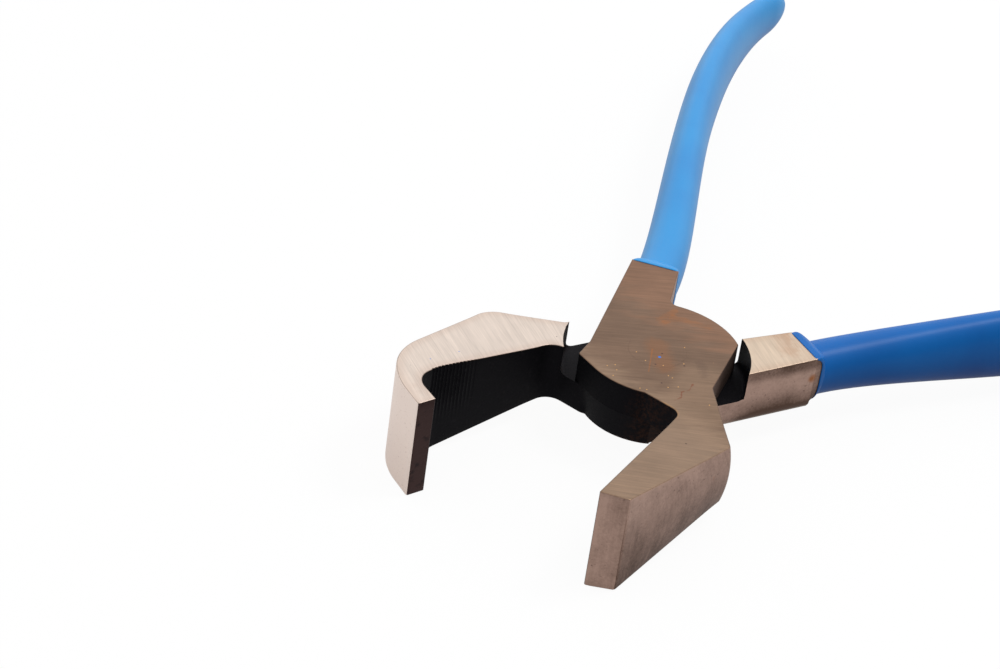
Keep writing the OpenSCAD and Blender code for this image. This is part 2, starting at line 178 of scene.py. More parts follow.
class TangSizes(bpy.types.PropertyGroup):
    """The bare tangs behind the joint."""

    outer: length("Outer edge", "Distance from the rivet", 13.5 * MM)
    lean: lean("Outer lean", "Lean of the outer edge", 22.6)
    inner_lean: lean("Inner lean", "Lean of the inner edge, which points at the rivet", 28.5)
    end: length("Bare length", "From the rivet to the coating", 30.75 * MM)
    root: length("Root", "Round between tang and lap", 2 * MM)
    edge: length("Soft edge", "Rounding of the lower lever's outer edge", 2.4 * MM)
    spur: length("Spur", "How far the corner beside the throat stands out", 10.1 * MM)
    spur_slope: FloatProperty(name="Spur slope", description="Its reach over its stand", default=1.32)


class HandleSizes(bpy.types.PropertyGroup):
    """The handles: one cubic curve with an oval section."""

    out: length("Tip out", "How far the tip stands out to the side", 75.86 * MM)
    back: length("Tip back", "Distance of the tip behind the rivet", 154.39 * MM)
    start_lean: lean("Start lean", "Direction in which the handle leaves the tang", 18)
    start_pull: length("Start pull", "Handle of the curve at the tang", 25.7 * MM)
    tip_lean: lean("Tip lean", "Direction of the handle at its tip", -3)
    tip_pull: length("Tip pull", "Handle of the curve at the tip", 43.7 * MM)
    neck_w: length("Neck half width", "Behind the tang", 5 * MM)
    neck_h: length("Neck half height", "Behind the tang", 5.65 * MM)
    belly_w: length("Belly half width", "Where the grip is highest", 4.1 * MM)
    belly_h: length("Belly half height", "Where the grip is highest", 9 * MM)
    tip_w: length("Tip half width", "Near the tip", 2.9 * MM)
    tip_h: length("Tip half height", "Near the tip", 3.8 * MM)
    bead: length("Bead", "Extra half height at the very tip", 0.75 * MM)
    coat: length("Coating", "Thickness of the dip coating", 1.1 * MM)
    lip: length("Lip", "How far the coating stands proud of the tang", 0.16 * MM)


class Finishes(bpy.types.PropertyGroup):
    """Colours of the bare steel, its scale and the coating."""

    anvil_cheek: colour("Straight jaw cheek", "Ground and browned", 138, 114, 94)
    anvil_joint: colour("Joint cheek", "Darker browning round the rivet", 116, 93, 77)
    anvil_root: colour("Tang cheek", "Reddish browning of the tang", 132, 100, 80)
    hook_cheek: colour("Hooked lever cheek", "Freshly ground", 209, 195, 184)
    hook_tang: colour("Hooked lever tang", "Ground, with a warm stain", 200, 180, 158)
    forged: colour("Forged wall", "Pinkish brown skin of the forging", 184, 154, 140)
    # Darker skin for pits and worn edges, also laid on the forged walls towards their foot as painted
    # shade.
    forged_dark_and_shade: colour("Forged foot", "Where that skin darkens", 92, 70, 59)
    end_grain: colour("Hook end", "Pale ground end of the hook", 252, 236, 226)
    land: colour("Land", "Browned tip of the hook", 72, 54, 52)
    land_bare: colour("Bare land", "Where the land is rubbed", 122, 104, 104)
    scale: colour("Black scale", "Oxide left by the forge", 25, 24, 27)
    umber: colour("Umber", "Brown of the rough throat", 70, 44, 32)
    rust: colour("Rust", "Spots and streaks", 158, 98, 52)
    red: colour("Red line", "Scratch that has rusted", 120, 62, 44)
    gold: colour("Gold speck", "Bright temper colour", 222, 170, 104)
    blue: colour("Blue speck", "A drop of coating", 60, 120, 205)
    coating: colour("Coating", "Blue dip coating", 16, 142, 210)
    # Deeper blue where the coating is thick, also laid on the lower side of both grips as painted
    # shade.
    coating_deep_and_shade: colour("Thick coating", "Where the coating is thick", 10, 84, 172)
    # Painted shade: the hooked lever's grip has the same dip as the other; these two colours are darker
    # copies that stand in for the shade it lies in.
    hook_coating_painted_shade: colour("Hooked lever's coating", "The deeper blue of its dip", 4, 98, 176)
    hook_coating_deep_painted_shade: colour("Hooked lever's thick coating", "Where it is thick", 2, 30, 104)


class PincerSizes(bpy.types.PropertyGroup):
    """Everything that the panel offers."""

    joint: PointerProperty(type=JointSizes)
    jaw: PointerProperty(type=JawSizes)
    anvil: PointerProperty(type=StraightJawSizes)
    hook: PointerProperty(type=HookedJawSizes)
    tang: PointerProperty(type=TangSizes)
    handle: PointerProperty(type=HandleSizes)
    finish: PointerProperty(type=Finishes)


# ---- plane geometry ----


def aim(angle):
    """The unit vector at an angle in radians from +X."""
    return np.array([cos(angle), sin(angle)])


def unit(vector):
    """The vector at a length of 1."""
    return vector / np.linalg.norm(vector)


def cross(a, b):
    """Cross product in plan: positive where b lies to the left of a."""
    return a[..., 0] * b[..., 1] - a[..., 1] * b[..., 0]


def meet(p, u, q, v):
    """Where the line through p along u meets the line through q along v."""
    return p + u * cross(q - p, v) / cross(u, v)


def ease(share):
    """Smoothstep: 3u^2 - 2u^3 with u held between 0 and 1."""
    held = np.clip(share, 0, 1)
    return held * held * (3 - 2 * held)


def arc(centre, radius, start, end, step=radians(3)):
    """Points on a circle from one angle to another, both ends included."""
    count = max(3, int(abs(end - start) / step) + 2)
    turn = np.linspace(start, end, count)
    return centre + radius * np.stack([np.cos(turn), np.sin(turn)], axis=1)


def rounded_run(corners, names):
    """An open line through the corners [x, y, radius]. Each inner corner becomes an arc that touches
    both of its runs. Returns the points and, for each, the name of the run that it lies on."""
    points, runs = [corners[0][None, :2]], [names[:1]]
    for before, here, after, into, out in zip(corners, corners[1:], corners[2:], names, names[1:]):
        back, on = unit(before[:2] - here[:2]), unit(after[:2] - here[:2])
        if here[2] > 0:
            half = acos(back @ on) / 2
            centre = here[:2] + unit(back + on) * here[2] / sin(half)
            first = here[:2] + back * here[2] / tan(half) - centre
            start = atan2(first[1], first[0])
            bend = arc(centre, here[2], start, start - np.sign(cross(back, on)) * (pi - 2 * half))
        else:
            bend = here[None, :2]
        points.append(bend)
        runs.append([into] * (len(bend) // 2) + [out] * (len(bend) - len(bend) // 2))
    points.append(corners[-1][None, :2])
    runs.append(names[-1:])
    return np.concatenate(points), np.concatenate(runs)


def refined(points, runs, step):
    """The same closed line with no gap between neighbours longer than step, which may differ by gap."""
    ahead = np.roll(points, -1, axis=0) - points
    count = np.maximum(1, np.ceil(np.linalg.norm(ahead, axis=1) / step)).astype(int)
    index = np.repeat(np.arange(len(points)), count)
    share = (np.arange(len(index)) - np.repeat(np.cumsum(count) - count, count)) / count[index]
    return points[index] + ahead[index] * share[:, None], runs[index]


def outward(points):
    """Mitred outward normals of a closed counterclockwise line: the sum of the two edges' normals,
    scaled so that a line moved along them stays parallel to its edges."""
    edge = np.roll(points, -1, axis=0) - points
    edge /= np.linalg.norm(edge, axis=1)[:, None]
    ahead = np.stack([edge[:, 1], -edge[:, 0]], axis=1)
    behind = np.roll(ahead, 1, axis=0)
    return (ahead + behind) / (1 + np.sum(ahead * behind, axis=1))[:, None]


def inside(points, outline):
    """Which points lie inside a closed line, by the parity of its crossings to their right."""
    x, y = points[:, :1], points[:, 1:]
    ends = np.roll(outline, -1, axis=0)
    straddles = (outline[:, 1] > y) != (ends[:, 1] > y)
    over, up = (ends - outline).T
    right = x < outline[:, 0] + (y - outline[:, 1]) * (over / np.where(up == 0, 1, up))
    return np.sum(straddles & right, axis=1) % 2 == 1


def nearest(points, line):
    """Distance from each point to the nearest point of a line, and that point's number."""
    gap = np.linalg.norm(points[:, None, :] - line[None, :, :], axis=2)
    return gap.min(axis=1), gap.argmin(axis=1)


# ---- meshes ----


def mesh_from(name, vertices, faces):
    """A mesh of the given vertices, quads and triangles."""
    mesh = bpy.data.meshes.new(name)
    mesh.from_pydata(vertices.tolist(), [], faces)
    mesh.validate()
    return mesh


def tube_faces(rows, around):
    """Quads between the rows of a closed tube, each row around points long."""
    row, column = np.mgrid[0 : rows - 1, 0:around]
    after = (column + 1) % around
    corners = (row * around + column, (row + 1) * around + column, (row + 1) * around + after)
    return np.stack([*corners, row * around + after], axis=-1).reshape(-1, 4).tolist()


def pole_faces(ring, pole, closing):
    """A fan between a ring of vertex numbers and a pole, turned outwards by closing."""
    after = np.roll(ring, -1)
    sides = (ring, after) if closing else (after, ring)
    return np.stack([np.full(len(ring), pole), *sides], axis=1).tolist()


def turned_rings(rings, around):
    """Rows [radius, height] turned round Z: x = r cos a, y = r sin a, z = h."""
    turn = np.arange(around) * 2 * pi / around
    radius, height = rings[:, :1], np.repeat(rings[:, 1:], around, axis=1)
    return np.stack([radius * np.cos(turn), radius * np.sin(turn), height], axis=-1).reshape(-1, 3)


def lathe(name, profile, around):
    """The profile [radius, height] turned round Z from its upper pole to its lower one."""
    rings = profile[1:-1]
    grid = turned_rings(rings, around)
    poles = np.array([[0, 0, profile[0, 1]], [0, 0, profile[-1, 1]]])
    last = len(grid) - around
    faces = tube_faces(len(rings), around)
    faces += pole_faces(np.arange(around), len(grid), True)
    faces += pole_faces(np.arange(last, last + around), len(grid) + 1, False)
    return mesh_from(name, np.concatenate([grid, poles]), faces)


def put(mesh):
    """An object that holds the mesh at the origin."""
    piece = bpy.data.objects.new(mesh.name, mesh)
    bpy.context.scene.collection.objects.link(piece)
    return piece


def cut(body, cutters):
    """The body's mesh with the cutters taken out of it."""
    work = put(body)
    tools = [put(cutter) for cutter in cutters]
    for tool in tools:
        step = work.modifiers.new(tool.name, "BOOLEAN")
        step.operation, step.solver, step.object = "DIFFERENCE", "EXACT", tool
    depsgraph = bpy.context.evaluated_depsgraph_get()
    made = bpy.data.meshes.new_from_object(work.evaluated_get(depsgraph))
    for spare in [work, *tools]:
        bpy.data.objects.remove(spare)
    return made


def triples(parts, name):
    """One [x, y, z] for each vertex or face of a mesh."""
    flat = np.empty(len(parts) * 3)
    parts.foreach_get(name, flat)
    return flat.reshape(-1, 3)


def tag(mesh, name, domain, values):
    """Stores one number per point or face under a name that the materials read."""
    layer = mesh.attributes.new(name, "FLOAT", domain)
    layer.data.foreach_set("value", np.asarray(values, dtype=np.float32))


def finish_piece(mesh, material, body, node):
    """Shows the mesh as a named piece that rides on a body and stands for a CAD node, smooth
    except at its creases."""
    mesh.shade_smooth()
    mesh.set_sharp_from_angle(angle=CREASE)
    mesh.materials.clear()
    mesh.materials.append(material)
    piece = put(mesh)
    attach(piece, body)
    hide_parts(node)


# ---- plan of a lever ----


def cheek_height(y, joint, jaw):
    """Height of a cheek over the middle: level, a parabola into a straight flare, level at the tip."""
    rise = np.minimum(-y, jaw.flare_end) - jaw.flare_start
    blend = jaw.flare_blend
    eased = (np.clip(rise + blend, 0, None)) ** 2 / (4 * blend)
    return joint.thickness / 2 + jaw.flare * np.where(rise < blend, eased, rise)


def tang_frame(tang):
    """The tang's direction, its outward side, and the ends of its outer and inner edges."""
    along, side = aim(pi / 2 + tang.lean), aim(pi + tang.lean)
    inner_end = meet(np.zeros(2), aim(pi / 2 + tang.inner_lean), along * tang.end, side)
    return along, side, side * tang.outer + along * tang.end, inner_end


def anvil_corners(sizes):
    """Corners of the straight jaw from the notch round its tip and heel, [x, y, radius]."""
    anvil, reach, floor = sizes.anvil, sizes.jaw.reach, sizes.joint.throat_floor
    notch = np.array([anvil.inside, -floor])
    tip = notch + aim(anvil.lean - pi / 2) * anvil.inner_run
    rows = [
        [*notch, anvil.notch],
        [*tip, 0.4 * MM],
        [anvil.outside, -sqrt(reach**2 - anvil.outside**2), 0.9 * MM],
        [anvil.outside, -anvil.heel, 1.5 * MM],
    ]
    return np.array(rows), ["inner", "tip", "outer"]


def hook_corners(sizes):
    """Corners of the hooked jaw from the notch through the pocket and round the hook."""
    hook, floor = sizes.hook, sizes.joint.throat_floor
    reach = sizes.jaw.reach - hook.setback
    notch = np.array([hook.inside, -floor])
    bend = meet(notch, aim(hook.lean - pi / 2), np.array([hook.pocket, 0]), aim(pi / 2))
    tip_in = np.array([hook.tip, -sqrt(reach**2 - hook.tip**2)])
    tip_out = tip_in + aim(hook.land - pi / 2) * hook.thickness
    corner = meet(tip_out, aim(hook.end_lean), np.array([hook.outside, 0]), aim(pi / 2))
    rows = [
        [*notch, hook.notch],
        [*bend, hook.bend],
        [hook.pocket, -sqrt(reach**2 - hook.pocket**2), hook.pocket_round],
        [*tip_in, 0.3 * MM],
        [*tip_out, 0.5 * MM],
        [*corner, hook.corner],
        [hook.outside, -hook.heel, 6 * MM],
    ]
    return np.array(rows), ["inner", "inner", "pocket", "land", "end", "outer"]


def lever_outline(sizes, jaw_corners, names, flat, flat_turn, shoulder):
    """The whole plan of a lever, counterclockwise: the jaw, the shoulder up to the flat, the round back
    of the lap, the tang, the spur and the throat. The lap and throat are arcs about the rivet, and the
    root is an arc that touches the lap from outside and the tang's inner edge."""
    joint, tang = sizes.joint, sizes.tang
    along, side, outer_end, inner_end = tang_frame(tang)
    facing = aim(flat_turn)
    flat_end = flat_turn + acos(flat / joint.lobe)
    root = meet(jaw_corners[-1, :2], aim(pi - shoulder), facing * flat, aim(flat_turn + pi / 2))
    floor_start = np.array([sqrt(joint.throat**2 - joint.throat_floor**2), -joint.throat_floor])
    front = np.vstack(
        [[*floor_start, 0], jaw_corners, [*root, 2 * MM], [*(aim(flat_end) * joint.lobe), 0]]
    )
    inner = pi / 2 + tang.inner_lean
    reach = sqrt((joint.lobe + tang.root) ** 2 - tang.root**2)
    root_centre = aim(inner) * reach + aim(inner - pi / 2) * tang.root
    root_turn = atan2(root_centre[1], root_centre[0])
    spur = np.array([-tang.spur, -tang.spur * tang.spur_slope])
    touch = atan2(spur[1], spur[0]) + acos(joint.throat / np.linalg.norm(spur))
    rear = np.array(
        [
            [*inner_end, 0],
            [*outer_end, 0],
            [*(side * tang.outer - along * 3 * MM), 0],
            [*spur, 0.8 * MM],
            [*(aim(touch) * joint.throat), 0],
        ]
    )
    parts = [
        rounded_run(front, ["floor", *names, "shoulder", "flat"]),
        (arc(0, joint.lobe, flat_end, root_turn)[1:], "lobe"),
        (arc(root_centre, tang.root, root_turn + pi, inner + pi / 2)[1:], "tang_in"),
        rounded_run(rear, ["tang_end", "tang_out", "tang_out", "spur"]),
        (arc(0, joint.throat, touch, atan2(floor_start[1], floor_start[0]))[1:-1], "throat"),
    ]
    points = np.concatenate([points for points, _ in parts])
    runs = np.concatenate([np.full(len(p), n) if isinstance(n, str) else n for p, n in parts])
    return points, runs


def tooth_grooves(points, runs, sizes):
    """How deep each point of the outline lies in a groove of the hooked jaw's inner face. A groove of
    radius r and depth d sinks the face by d - r + sqrt(r^2 - u^2), where u is the way along the face
    from its middle; the first few are shallower."""
    hook = sizes.hook
    face = np.flatnonzero(runs == "inner")
    steps = np.linalg.norm(np.diff(points[face], axis=0), axis=1)
    along = np.concatenate([[0], np.cumsum(steps)])
    first = np.interp(hook.teeth_start, -points[face][:, 1], along)
    number = np.clip(np.round((along - first) / hook.pitch), 0, hook.teeth - 1)
    depth = hook.groove * np.minimum(1, (number + 2) / 6)
    half = 0.44 * hook.pitch
    radius = (half**2 + depth**2) / (2 * depth)
    from_middle = along - first - number * hook.pitch
    sunk = depth - radius + np.sqrt(np.clip(radius**2 - from_middle**2, 0, None))
    grooves = np.zeros(len(points))
    grooves[face] = np.clip(np.where(np.abs(from_middle) < half, sunk, 0), 0, None)
    return grooves


# ---- body of a lever ----


def wall_rows(points, normals, sizes, rounding, crown, grooves, drawn):
    """The wall carried round the outline, from the upper cheek to the lower one. With s running from
    1 to -1 over the height h, the wall stands out by crown (1 - s^2) and sinks by the grooves, which
    fade out towards s = 1; at each cheek a quarter circle of radius rounding closes it. rounding is
    [upper, lower]. Where drawn is true, the wall stays within a cone about the rivet."""
    quarter = np.linspace(0, pi / 2, 5)[:, None]
    share = np.linspace(1, -1, 13)[1:-1, None]
    upper, lower = rounding
    drawn_in, dropped = 1 - np.sin(quarter), 1 - np.cos(quarter)
    straight = np.zeros((len(share), len(points)))
    inset = np.concatenate([upper * drawn_in, straight, (lower * drawn_in)[::-1]])
    height = cheek_height(points[:, 1], sizes.joint, sizes.jaw)
    middle = (1 - share) / 2
    between = (height - upper) * (1 - middle) - (height - lower) * middle
    z = np.concatenate([height - upper * dropped, between, -(height - lower * dropped)[::-1]])
    s = z / height
    inset = inset + grooves * ease(0.45 - s) - crown * (1 - s**2)
    place = points[None] - normals[None] * inset[..., None]
    out = np.linalg.norm(place, axis=2)
    cone = sizes.joint.throat - (sizes.joint.throat - sizes.joint.throat_drawn) * np.clip(s, 0, 1)
    place = place * np.where(drawn & (out > cone), cone / out, 1)[..., None]
    settled = cheek_height(place[..., 1], sizes.joint, sizes.jaw) - height
    return np.concatenate([place, (z + np.sign(z) * settled * (np.abs(s) > 0.9))[..., None]], axis=2)


def within_edge(rows, sizes):
    """Points of the tang's end drawn in until they lie within its rounded outer edge, which at a
    depth d below the cheek stands r - sqrt(r^2 - (r - d)^2) inside the outer wall."""
    _, across, corner, _ = tang_frame(sizes.tang)
    radius = sizes.tang.edge
    depth = np.clip(sizes.joint.thickness / 2 - rows[..., 2], 0, radius)
    allowed = np.sqrt(radius**2 - (radius - depth) ** 2) - radius
    stands = (rows[..., :2] - corner) @ across
    drawn = rows.copy()
    drawn[..., :2] += np.minimum(0, allowed - stands)[..., None] * across
    return drawn


def cheek_points(ring, spacing):
    """Points inside a ring for its cheek: two rings just inside it, and rows spacing apart. Those
    that come too near the ring again are left out."""
    normals, insets = outward(ring), (0.35 * MM, 0.9 * MM)
    bands = [ring - normals * inset for inset in insets]
    rooms = (0.3 * MM, 0.8 * MM, 0.9 * spacing + 0.6 * MM)
    low, high = ring.min(axis=0), ring.max(axis=0)
    columns, rows = (np.arange(low[k], high[k], spacing) for k in range(2))
    grid = np.stack(np.meshgrid(columns, rows), axis=-1).reshape(-1, 2)
    kept = []
    for points, room in zip([*bands, grid], rooms):
        points = points[inside(points, ring)]
        points = points[nearest(points, ring)[0] > room]
        kept.append(points)
    kept[1] = kept[1][::2]
    return np.concatenate(kept)


def cheek_faces(ring, spacing, first):
    """Triangles that fill a ring of vertices 0 to n - 1 and its inner points, numbered from first."""
    extra = cheek_points(ring, spacing)
    count = len(ring)
    flat = [Vector(p) for p in np.concatenate([ring, extra]).tolist()]
    made = delaunay_2d_cdt(flat, [], [list(range(count))], 1, 1e-9)
    source = np.array([group[0] if group else -1 for group in made[3]])
    places = np.array([p[:] for p in made[0]])
    triangles = source[np.array(made[2])]
    a, b, c = (places[np.array(made[2])[:, k]] for k in range(3))
    triangles = np.where((cross(b - a, c - a) < 0)[:, None], triangles[:, ::-1], triangles)
    return extra, np.where(triangles >= count, triangles - count + first, triangles)


def lever_body(name, rows, sizes):
    """A closed lever blank: the wall rows and the two cheeks that they end in."""
    count, around = rows.shape[:2]
    wall = rows.reshape(-1, 3)
    faces = tube_faces(count, around)
    vertices = [wall]
    used = len(wall)
    for row, side in ((0, 1), (count - 1, -1)):
        extra, triangles = cheek_faces(rows[row, :, :2], CHEEK_STEP, used)
        height = side * cheek_height(extra[:, 1], sizes.joint, sizes.jaw)
        vertices.append(np.column_stack([extra, height]))
        on_ring = triangles < around
        triangles = np.where(on_ring, triangles + row * around, triangles)
        faces += (triangles if side > 0 else triangles[:, ::-1]).tolist()
        used += len(extra)
    return mesh_from(name, np.concatenate(vertices), faces)


def lap_cutter(sizes):
    """The other lever's room: all under the lap face out to the step, whose foot is rounded."""
    joint = sizes.joint
    step, foot, depth = joint.lobe + joint.step_gap, joint.lap_gap / 2, 16 * MM
    corner = np.array([step - joint.step_foot, foot - joint.step_foot])
    rounded = arc(corner, joint.step_foot, pi / 2, 0, radians(12))
    profile = np.vstack([[0, foot], rounded, [step, -depth], [0, -depth]])
    return lathe("lap room", profile, LAP_SIDES)


def rivet_profile(sizes, gap, past):
    """Half section of the rivet with gap round it: shank and two countersunk heads; its ends stand
    past the cheeks by past."""
    joint = sizes.joint
    shank, head, half = joint.rivet / 2 + gap, joint.rivet_head / 2 + gap, joint.thickness / 2
    sunk = half - joint.countersink
    upper = [[0, half + past], [head, half + past], [head, half], [shank, sunk]]
    return np.array(upper + [[r, -z] for r, z in upper[::-1]])


def painted(mesh, points, runs, sizes):
    """Marks the faces of a lever for its finish. cheek is 1 on the ground faces; scale is how black a
    face is, by the run of the outline that it belongs to; run_* are 1 on single runs; edge is the
    distance of a point from the nearest cheek edge."""
    place = triples(mesh.vertices, "co")
    centre, normal = triples(mesh.polygons, "center"), triples(mesh.polygons, "normal")
    joint = sizes.joint
    run = runs[nearest(centre[:, :2], points)[1]]
    off = np.hypot(centre[:, 0], centre[:, 1])
    lapped = (centre[:, 2] < joint.lap_gap) & (off < joint.lobe + joint.step_gap + 0.02 * MM)
    level = np.abs(normal[:, 2])
    cheek = ease((level - 0.45) / 0.4) * ~lapped
    black = np.array([BLACKNESS.get(name, 0) for name in run])
    black = np.where((run == "tang_out") & (centre[:, 1] < -6 * MM), 0.95, black)
    tag(mesh, "cheek", "FACE", cheek)
    tag(mesh, "scale", "FACE", np.where(lapped, 1, black * (1 - cheek)))
    for name in ("land", "end", "tip"):
        tag(mesh, "run_" + name, "FACE", (run == name) & (cheek < 0.5) & ~lapped)
    height = cheek_height(place[:, 1], joint, sizes.jaw)
    inward = nearest(place[:, :2], points)[0]
    on_cheek = np.abs(place[:, 2]) > height - 0.01 * MM
    tag(mesh, "edge", "POINT", np.where(on_cheek, inward, height - np.abs(place[:, 2])))
    return mesh


# ---- handles: lengths along them are shares of the curve, 0 at the tang and 1 at the tip ----

SHOULDER_T = 0.05  # where the handle has turned from the tang's direction into its own
BELLY_T = 0.585  # where the grip is highest
BEAD_T, BEAD_RUN = 0.86, 0.12  # where the bead at the tip starts, and over what it rises
CAP_T = 0.06  # length of the rounded end
COAT_END_T = 0.014  # coating past the end of the rein
LIP_T, LIP_RUN = -0.004, 0.003  # where the coating starts, and the length of its rounded lip
OVAL = 2.2  # exponent of the section along the grip
SIDES = 96  # points round a section
DIP_RUN = 0.06  # over what the two halves of the coating come level again
REIN_T = -0.012  # where the rein starts, inside the tang
BORE_T, NECK_T = 0.03, 0.012  # where the bore's full coat ends, and where it has closed on the tang
END_AIR_T = 0.0004  # between the end of the rein and the end of the bore
FALL_ABOVE, FALL_BELOW = 0.35, 0.7  # how fast each half's exponent follows the shoulder's fall
AIR = 0.08 * MM  # between the rein and its coating
SLACK = 0.02 * MM  # by which a coating's bore stays clear of the tang
# A shoulder says from where to where the tang's section falls away into the neck at its sides, above
# and below, the exponents that its two halves start with, and how much further along the coating
# starts on the upper half.
Shoulder = namedtuple("Shoulder", "sides above below square_above square_below dip")
ANVIL_SHOULDER = Shoulder((0.0, 0.022), (0.0, 0.036), (0.0, 0.036), 14, 14, 0.0)
HOOK_SHOULDER = Shoulder((0.004, 0.032), (-0.004, 0.032), (0.010, 0.034), 4.4, 14, 0.024)


def handle_curve(t, sizes):
    """The handle's line in plan and its direction: a cubic Bezier curve from the tang to the tip."""
    handle, tang = sizes.handle, sizes.tang
    _, side, outer_end, inner_end = tang_frame(tang)
    p0 = (outer_end + inner_end) / 2
    p3 = np.array([-handle.out, handle.back])
    p1 = p0 + aim(pi / 2 + handle.start_lean) * handle.start_pull
    p2 = p3 - aim(pi / 2 + handle.tip_lean) * handle.tip_pull
    t = t[:, None]
    place = (1 - t) ** 3 * p0 + 3 * t * (1 - t) ** 2 * p1 + 3 * t**2 * (1 - t) * p2 + t**3 * p3
    rate = (1 - t) ** 2 * (p1 - p0) + 2 * t * (1 - t) * (p2 - p1) + t**2 * (p3 - p2)
    rate /= np.linalg.norm(rate, axis=1)[:, None]
    turned = side + (np.stack([-rate[:, 1], rate[:, 0]], axis=1) - side) * ease(t / SHOULDER_T)
    return place, turned / np.linalg.norm(turned, axis=1)[:, None]


def fallen(t, ends):
    """How far the shoulder has fallen at t: u^2, with u running from 0 to 1 between the ends."""
    return np.clip((t - ends[0]) / (ends[1] - ends[0]), 0, 1) ** 2


def half_sizes(t, shoulder, sizes):
    """Half width of the grip and its half height above and below: from the tang's section to the
    neck, to the belly and to the tip, which ends in a bead."""
    handle, half = sizes.handle, sizes.joint.thickness / 2
    _, _, outer_end, inner_end = tang_frame(sizes.tang)
    tang_w = np.linalg.norm(outer_end - inner_end) / 2
    swell = np.clip((t - SHOULDER_T) / (BELLY_T - SHOULDER_T), 0, 1)
    thin = np.clip((t - BELLY_T) / (1 - BELLY_T), 0, 1)
    w = handle.neck_w + (tang_w + handle.lip - handle.neck_w) * (1 - fallen(t, shoulder.sides))
    w = w + (handle.belly_w - handle.neck_w) * ease(swell)
    w = w + (handle.tip_w - handle.belly_w) * ease(thin)
    h = handle.neck_h + (handle.belly_h - handle.neck_h) * np.sin(pi / 2 * swell) ** 2
    h = h + (handle.tip_h - handle.belly_h) * (1 - np.cos(pi / 2 * thin))
    h = h + handle.bead * ease((t - BEAD_T) / BEAD_RUN)
    rise = half + handle.lip - handle.neck_h
    above = h + rise * (1 - fallen(t, shoulder.above))
    return w, above, h + rise * (1 - fallen(t, shoulder.below))


def swept(t, scale, inset, shoulder, sizes):
    """Sections carried along the handle, each two halves of superellipses |u/a|^n + |v/b|^n = 1 that
    are drawn in by inset and shrunk by scale. t, scale and inset are one number per row, or per row
    and side."""
    turn = np.arange(SIDES) * 2 * pi / SIDES
    t = np.broadcast_to(t.reshape(len(t), -1), (len(t), SIDES))
    scale, inset = scale[:, None], inset[:, None]
    place, across = handle_curve(t.reshape(-1), sizes)
    w, above, below = half_sizes(t, shoulder, sizes)
    up = np.sin(turn) > 0
    b = (np.where(up, above, below) - inset) * scale
    a = (w - inset) * scale
    starts = np.where(up, shoulder.square_above, shoulder.square_below)
    over = fallen(t, shoulder.above) ** FALL_ABOVE
    under = fallen(t, shoulder.below) ** FALL_BELOW
    power = 2 / (starts + (OVAL - starts) * np.where(up, over, under))
    u = a * np.sign(np.cos(turn)) * np.abs(np.cos(turn)) ** power
    v = b * np.sign(np.sin(turn)) * np.abs(np.sin(turn)) ** power
    flat = place.reshape(*t.shape, 2) + across.reshape(*t.shape, 2) * u[..., None]
    return np.concatenate([flat, v[..., None]], axis=2)


def capped_tube(name, rows, start, end):
    """A closed tube through rows of points with a pole at each end."""
    count, around = rows.shape[:2]
    grid = rows.reshape(-1, 3)
    faces = [face[::-1] for face in tube_faces(count, around)]
    faces += pole_faces(np.arange(around), len(grid), False)
    faces += pole_faces(np.arange(len(grid) - around, len(grid)), len(grid) + 1, True)
    return mesh_from(name, np.concatenate([grid, [start, end]]), faces)


def coat_inset(t, shoulder, sizes):
    """How far the coating's inner side lies within its outer one: the lip at the tang, and the full
    coat further on."""
    handle = sizes.handle
    return handle.lip + (handle.coat - handle.lip) * ease((t - shoulder.dip) / SHOULDER_T)


def rein_mesh(shoulder, sizes):
    """The forged rein under the coating: the grip's sections less the coating and a little air."""
    end = 1 - COAT_END_T
    neck, rest = np.linspace(REIN_T, SHOULDER_T, 32), np.linspace(SHOULDER_T, end - CAP_T, 60)
    turn = np.radians(np.arange(6, 90, 6))
    body = np.concatenate([neck, rest[1:]])
    t = np.concatenate([body, end - CAP_T + CAP_T * np.sin(turn)])
    scale = np.concatenate([np.ones(len(body)), np.cos(turn)])
    rows = swept(t, scale, coat_inset(t, shoulder, sizes) + AIR, shoulder, sizes)
    ends = handle_curve(np.array([t[0], end]), sizes)[0]
    return capped_tube("rein", rows, [*ends[0], 0], [*ends[1], 0])


def grip_mesh(name, shoulder, sizes):
    """The dip coating as one skin: up the bore from its closed end, out over the tang, round the
    lip in a quarter circle and back along the outside to the tip. The lip lies further along by dip
    where the section's half is the upper one."""
    end = 1 - COAT_END_T + END_AIR_T
    bore_turn, tip_turn = np.radians(np.arange(84, 0, -6)), np.radians(np.arange(4, 90, 4))
    straight = np.linspace(end - CAP_T, BORE_T, 70)
    bore = np.concatenate([end - CAP_T + CAP_T * np.sin(bore_turn), straight])
    over = np.array([NECK_T, LIP_T])
    roll = np.linspace(0, pi / 2, 7)[1:]
    lip = LIP_T + LIP_RUN * (1 - np.cos(roll))
    neck, rest = np.linspace(LIP_T + LIP_RUN, SHOULDER_T, 44), np.linspace(SHOULDER_T, 1 - CAP_T, 150)
    body = np.concatenate([neck[1:], rest[1:]])
    t = np.concatenate([bore, over, lip, body, 1 - CAP_T + CAP_T * np.sin(tip_turn)])
    full = np.ones(len(over) + len(lip) + len(body))
    scale = np.concatenate([np.cos(bore_turn), np.ones(len(straight)), full, np.cos(tip_turn)])
    on_tang = sizes.handle.lip - SLACK
    inset = np.concatenate(
        [
            coat_inset(bore, shoulder, sizes),
            np.full(len(over), on_tang),
            on_tang * (1 - np.sin(roll)),
            np.zeros(len(body) + len(tip_turn)),
        ]
    )
    half = np.sin(np.arange(SIDES) * 2 * pi / SIDES)
    later = shoulder.dip * ease((half + 0.9) / 0.9) * (1 - ease((t - LIP_T) / DIP_RUN))[:, None]
    later[: len(bore)] = 0
    rows = swept(t[:, None] + later, scale, inset, shoulder, sizes)
    ends = handle_curve(np.array([end, 1.0]), sizes)[0]
    return capped_tube(name, rows, [*ends[0], 0], [*ends[1], 0])


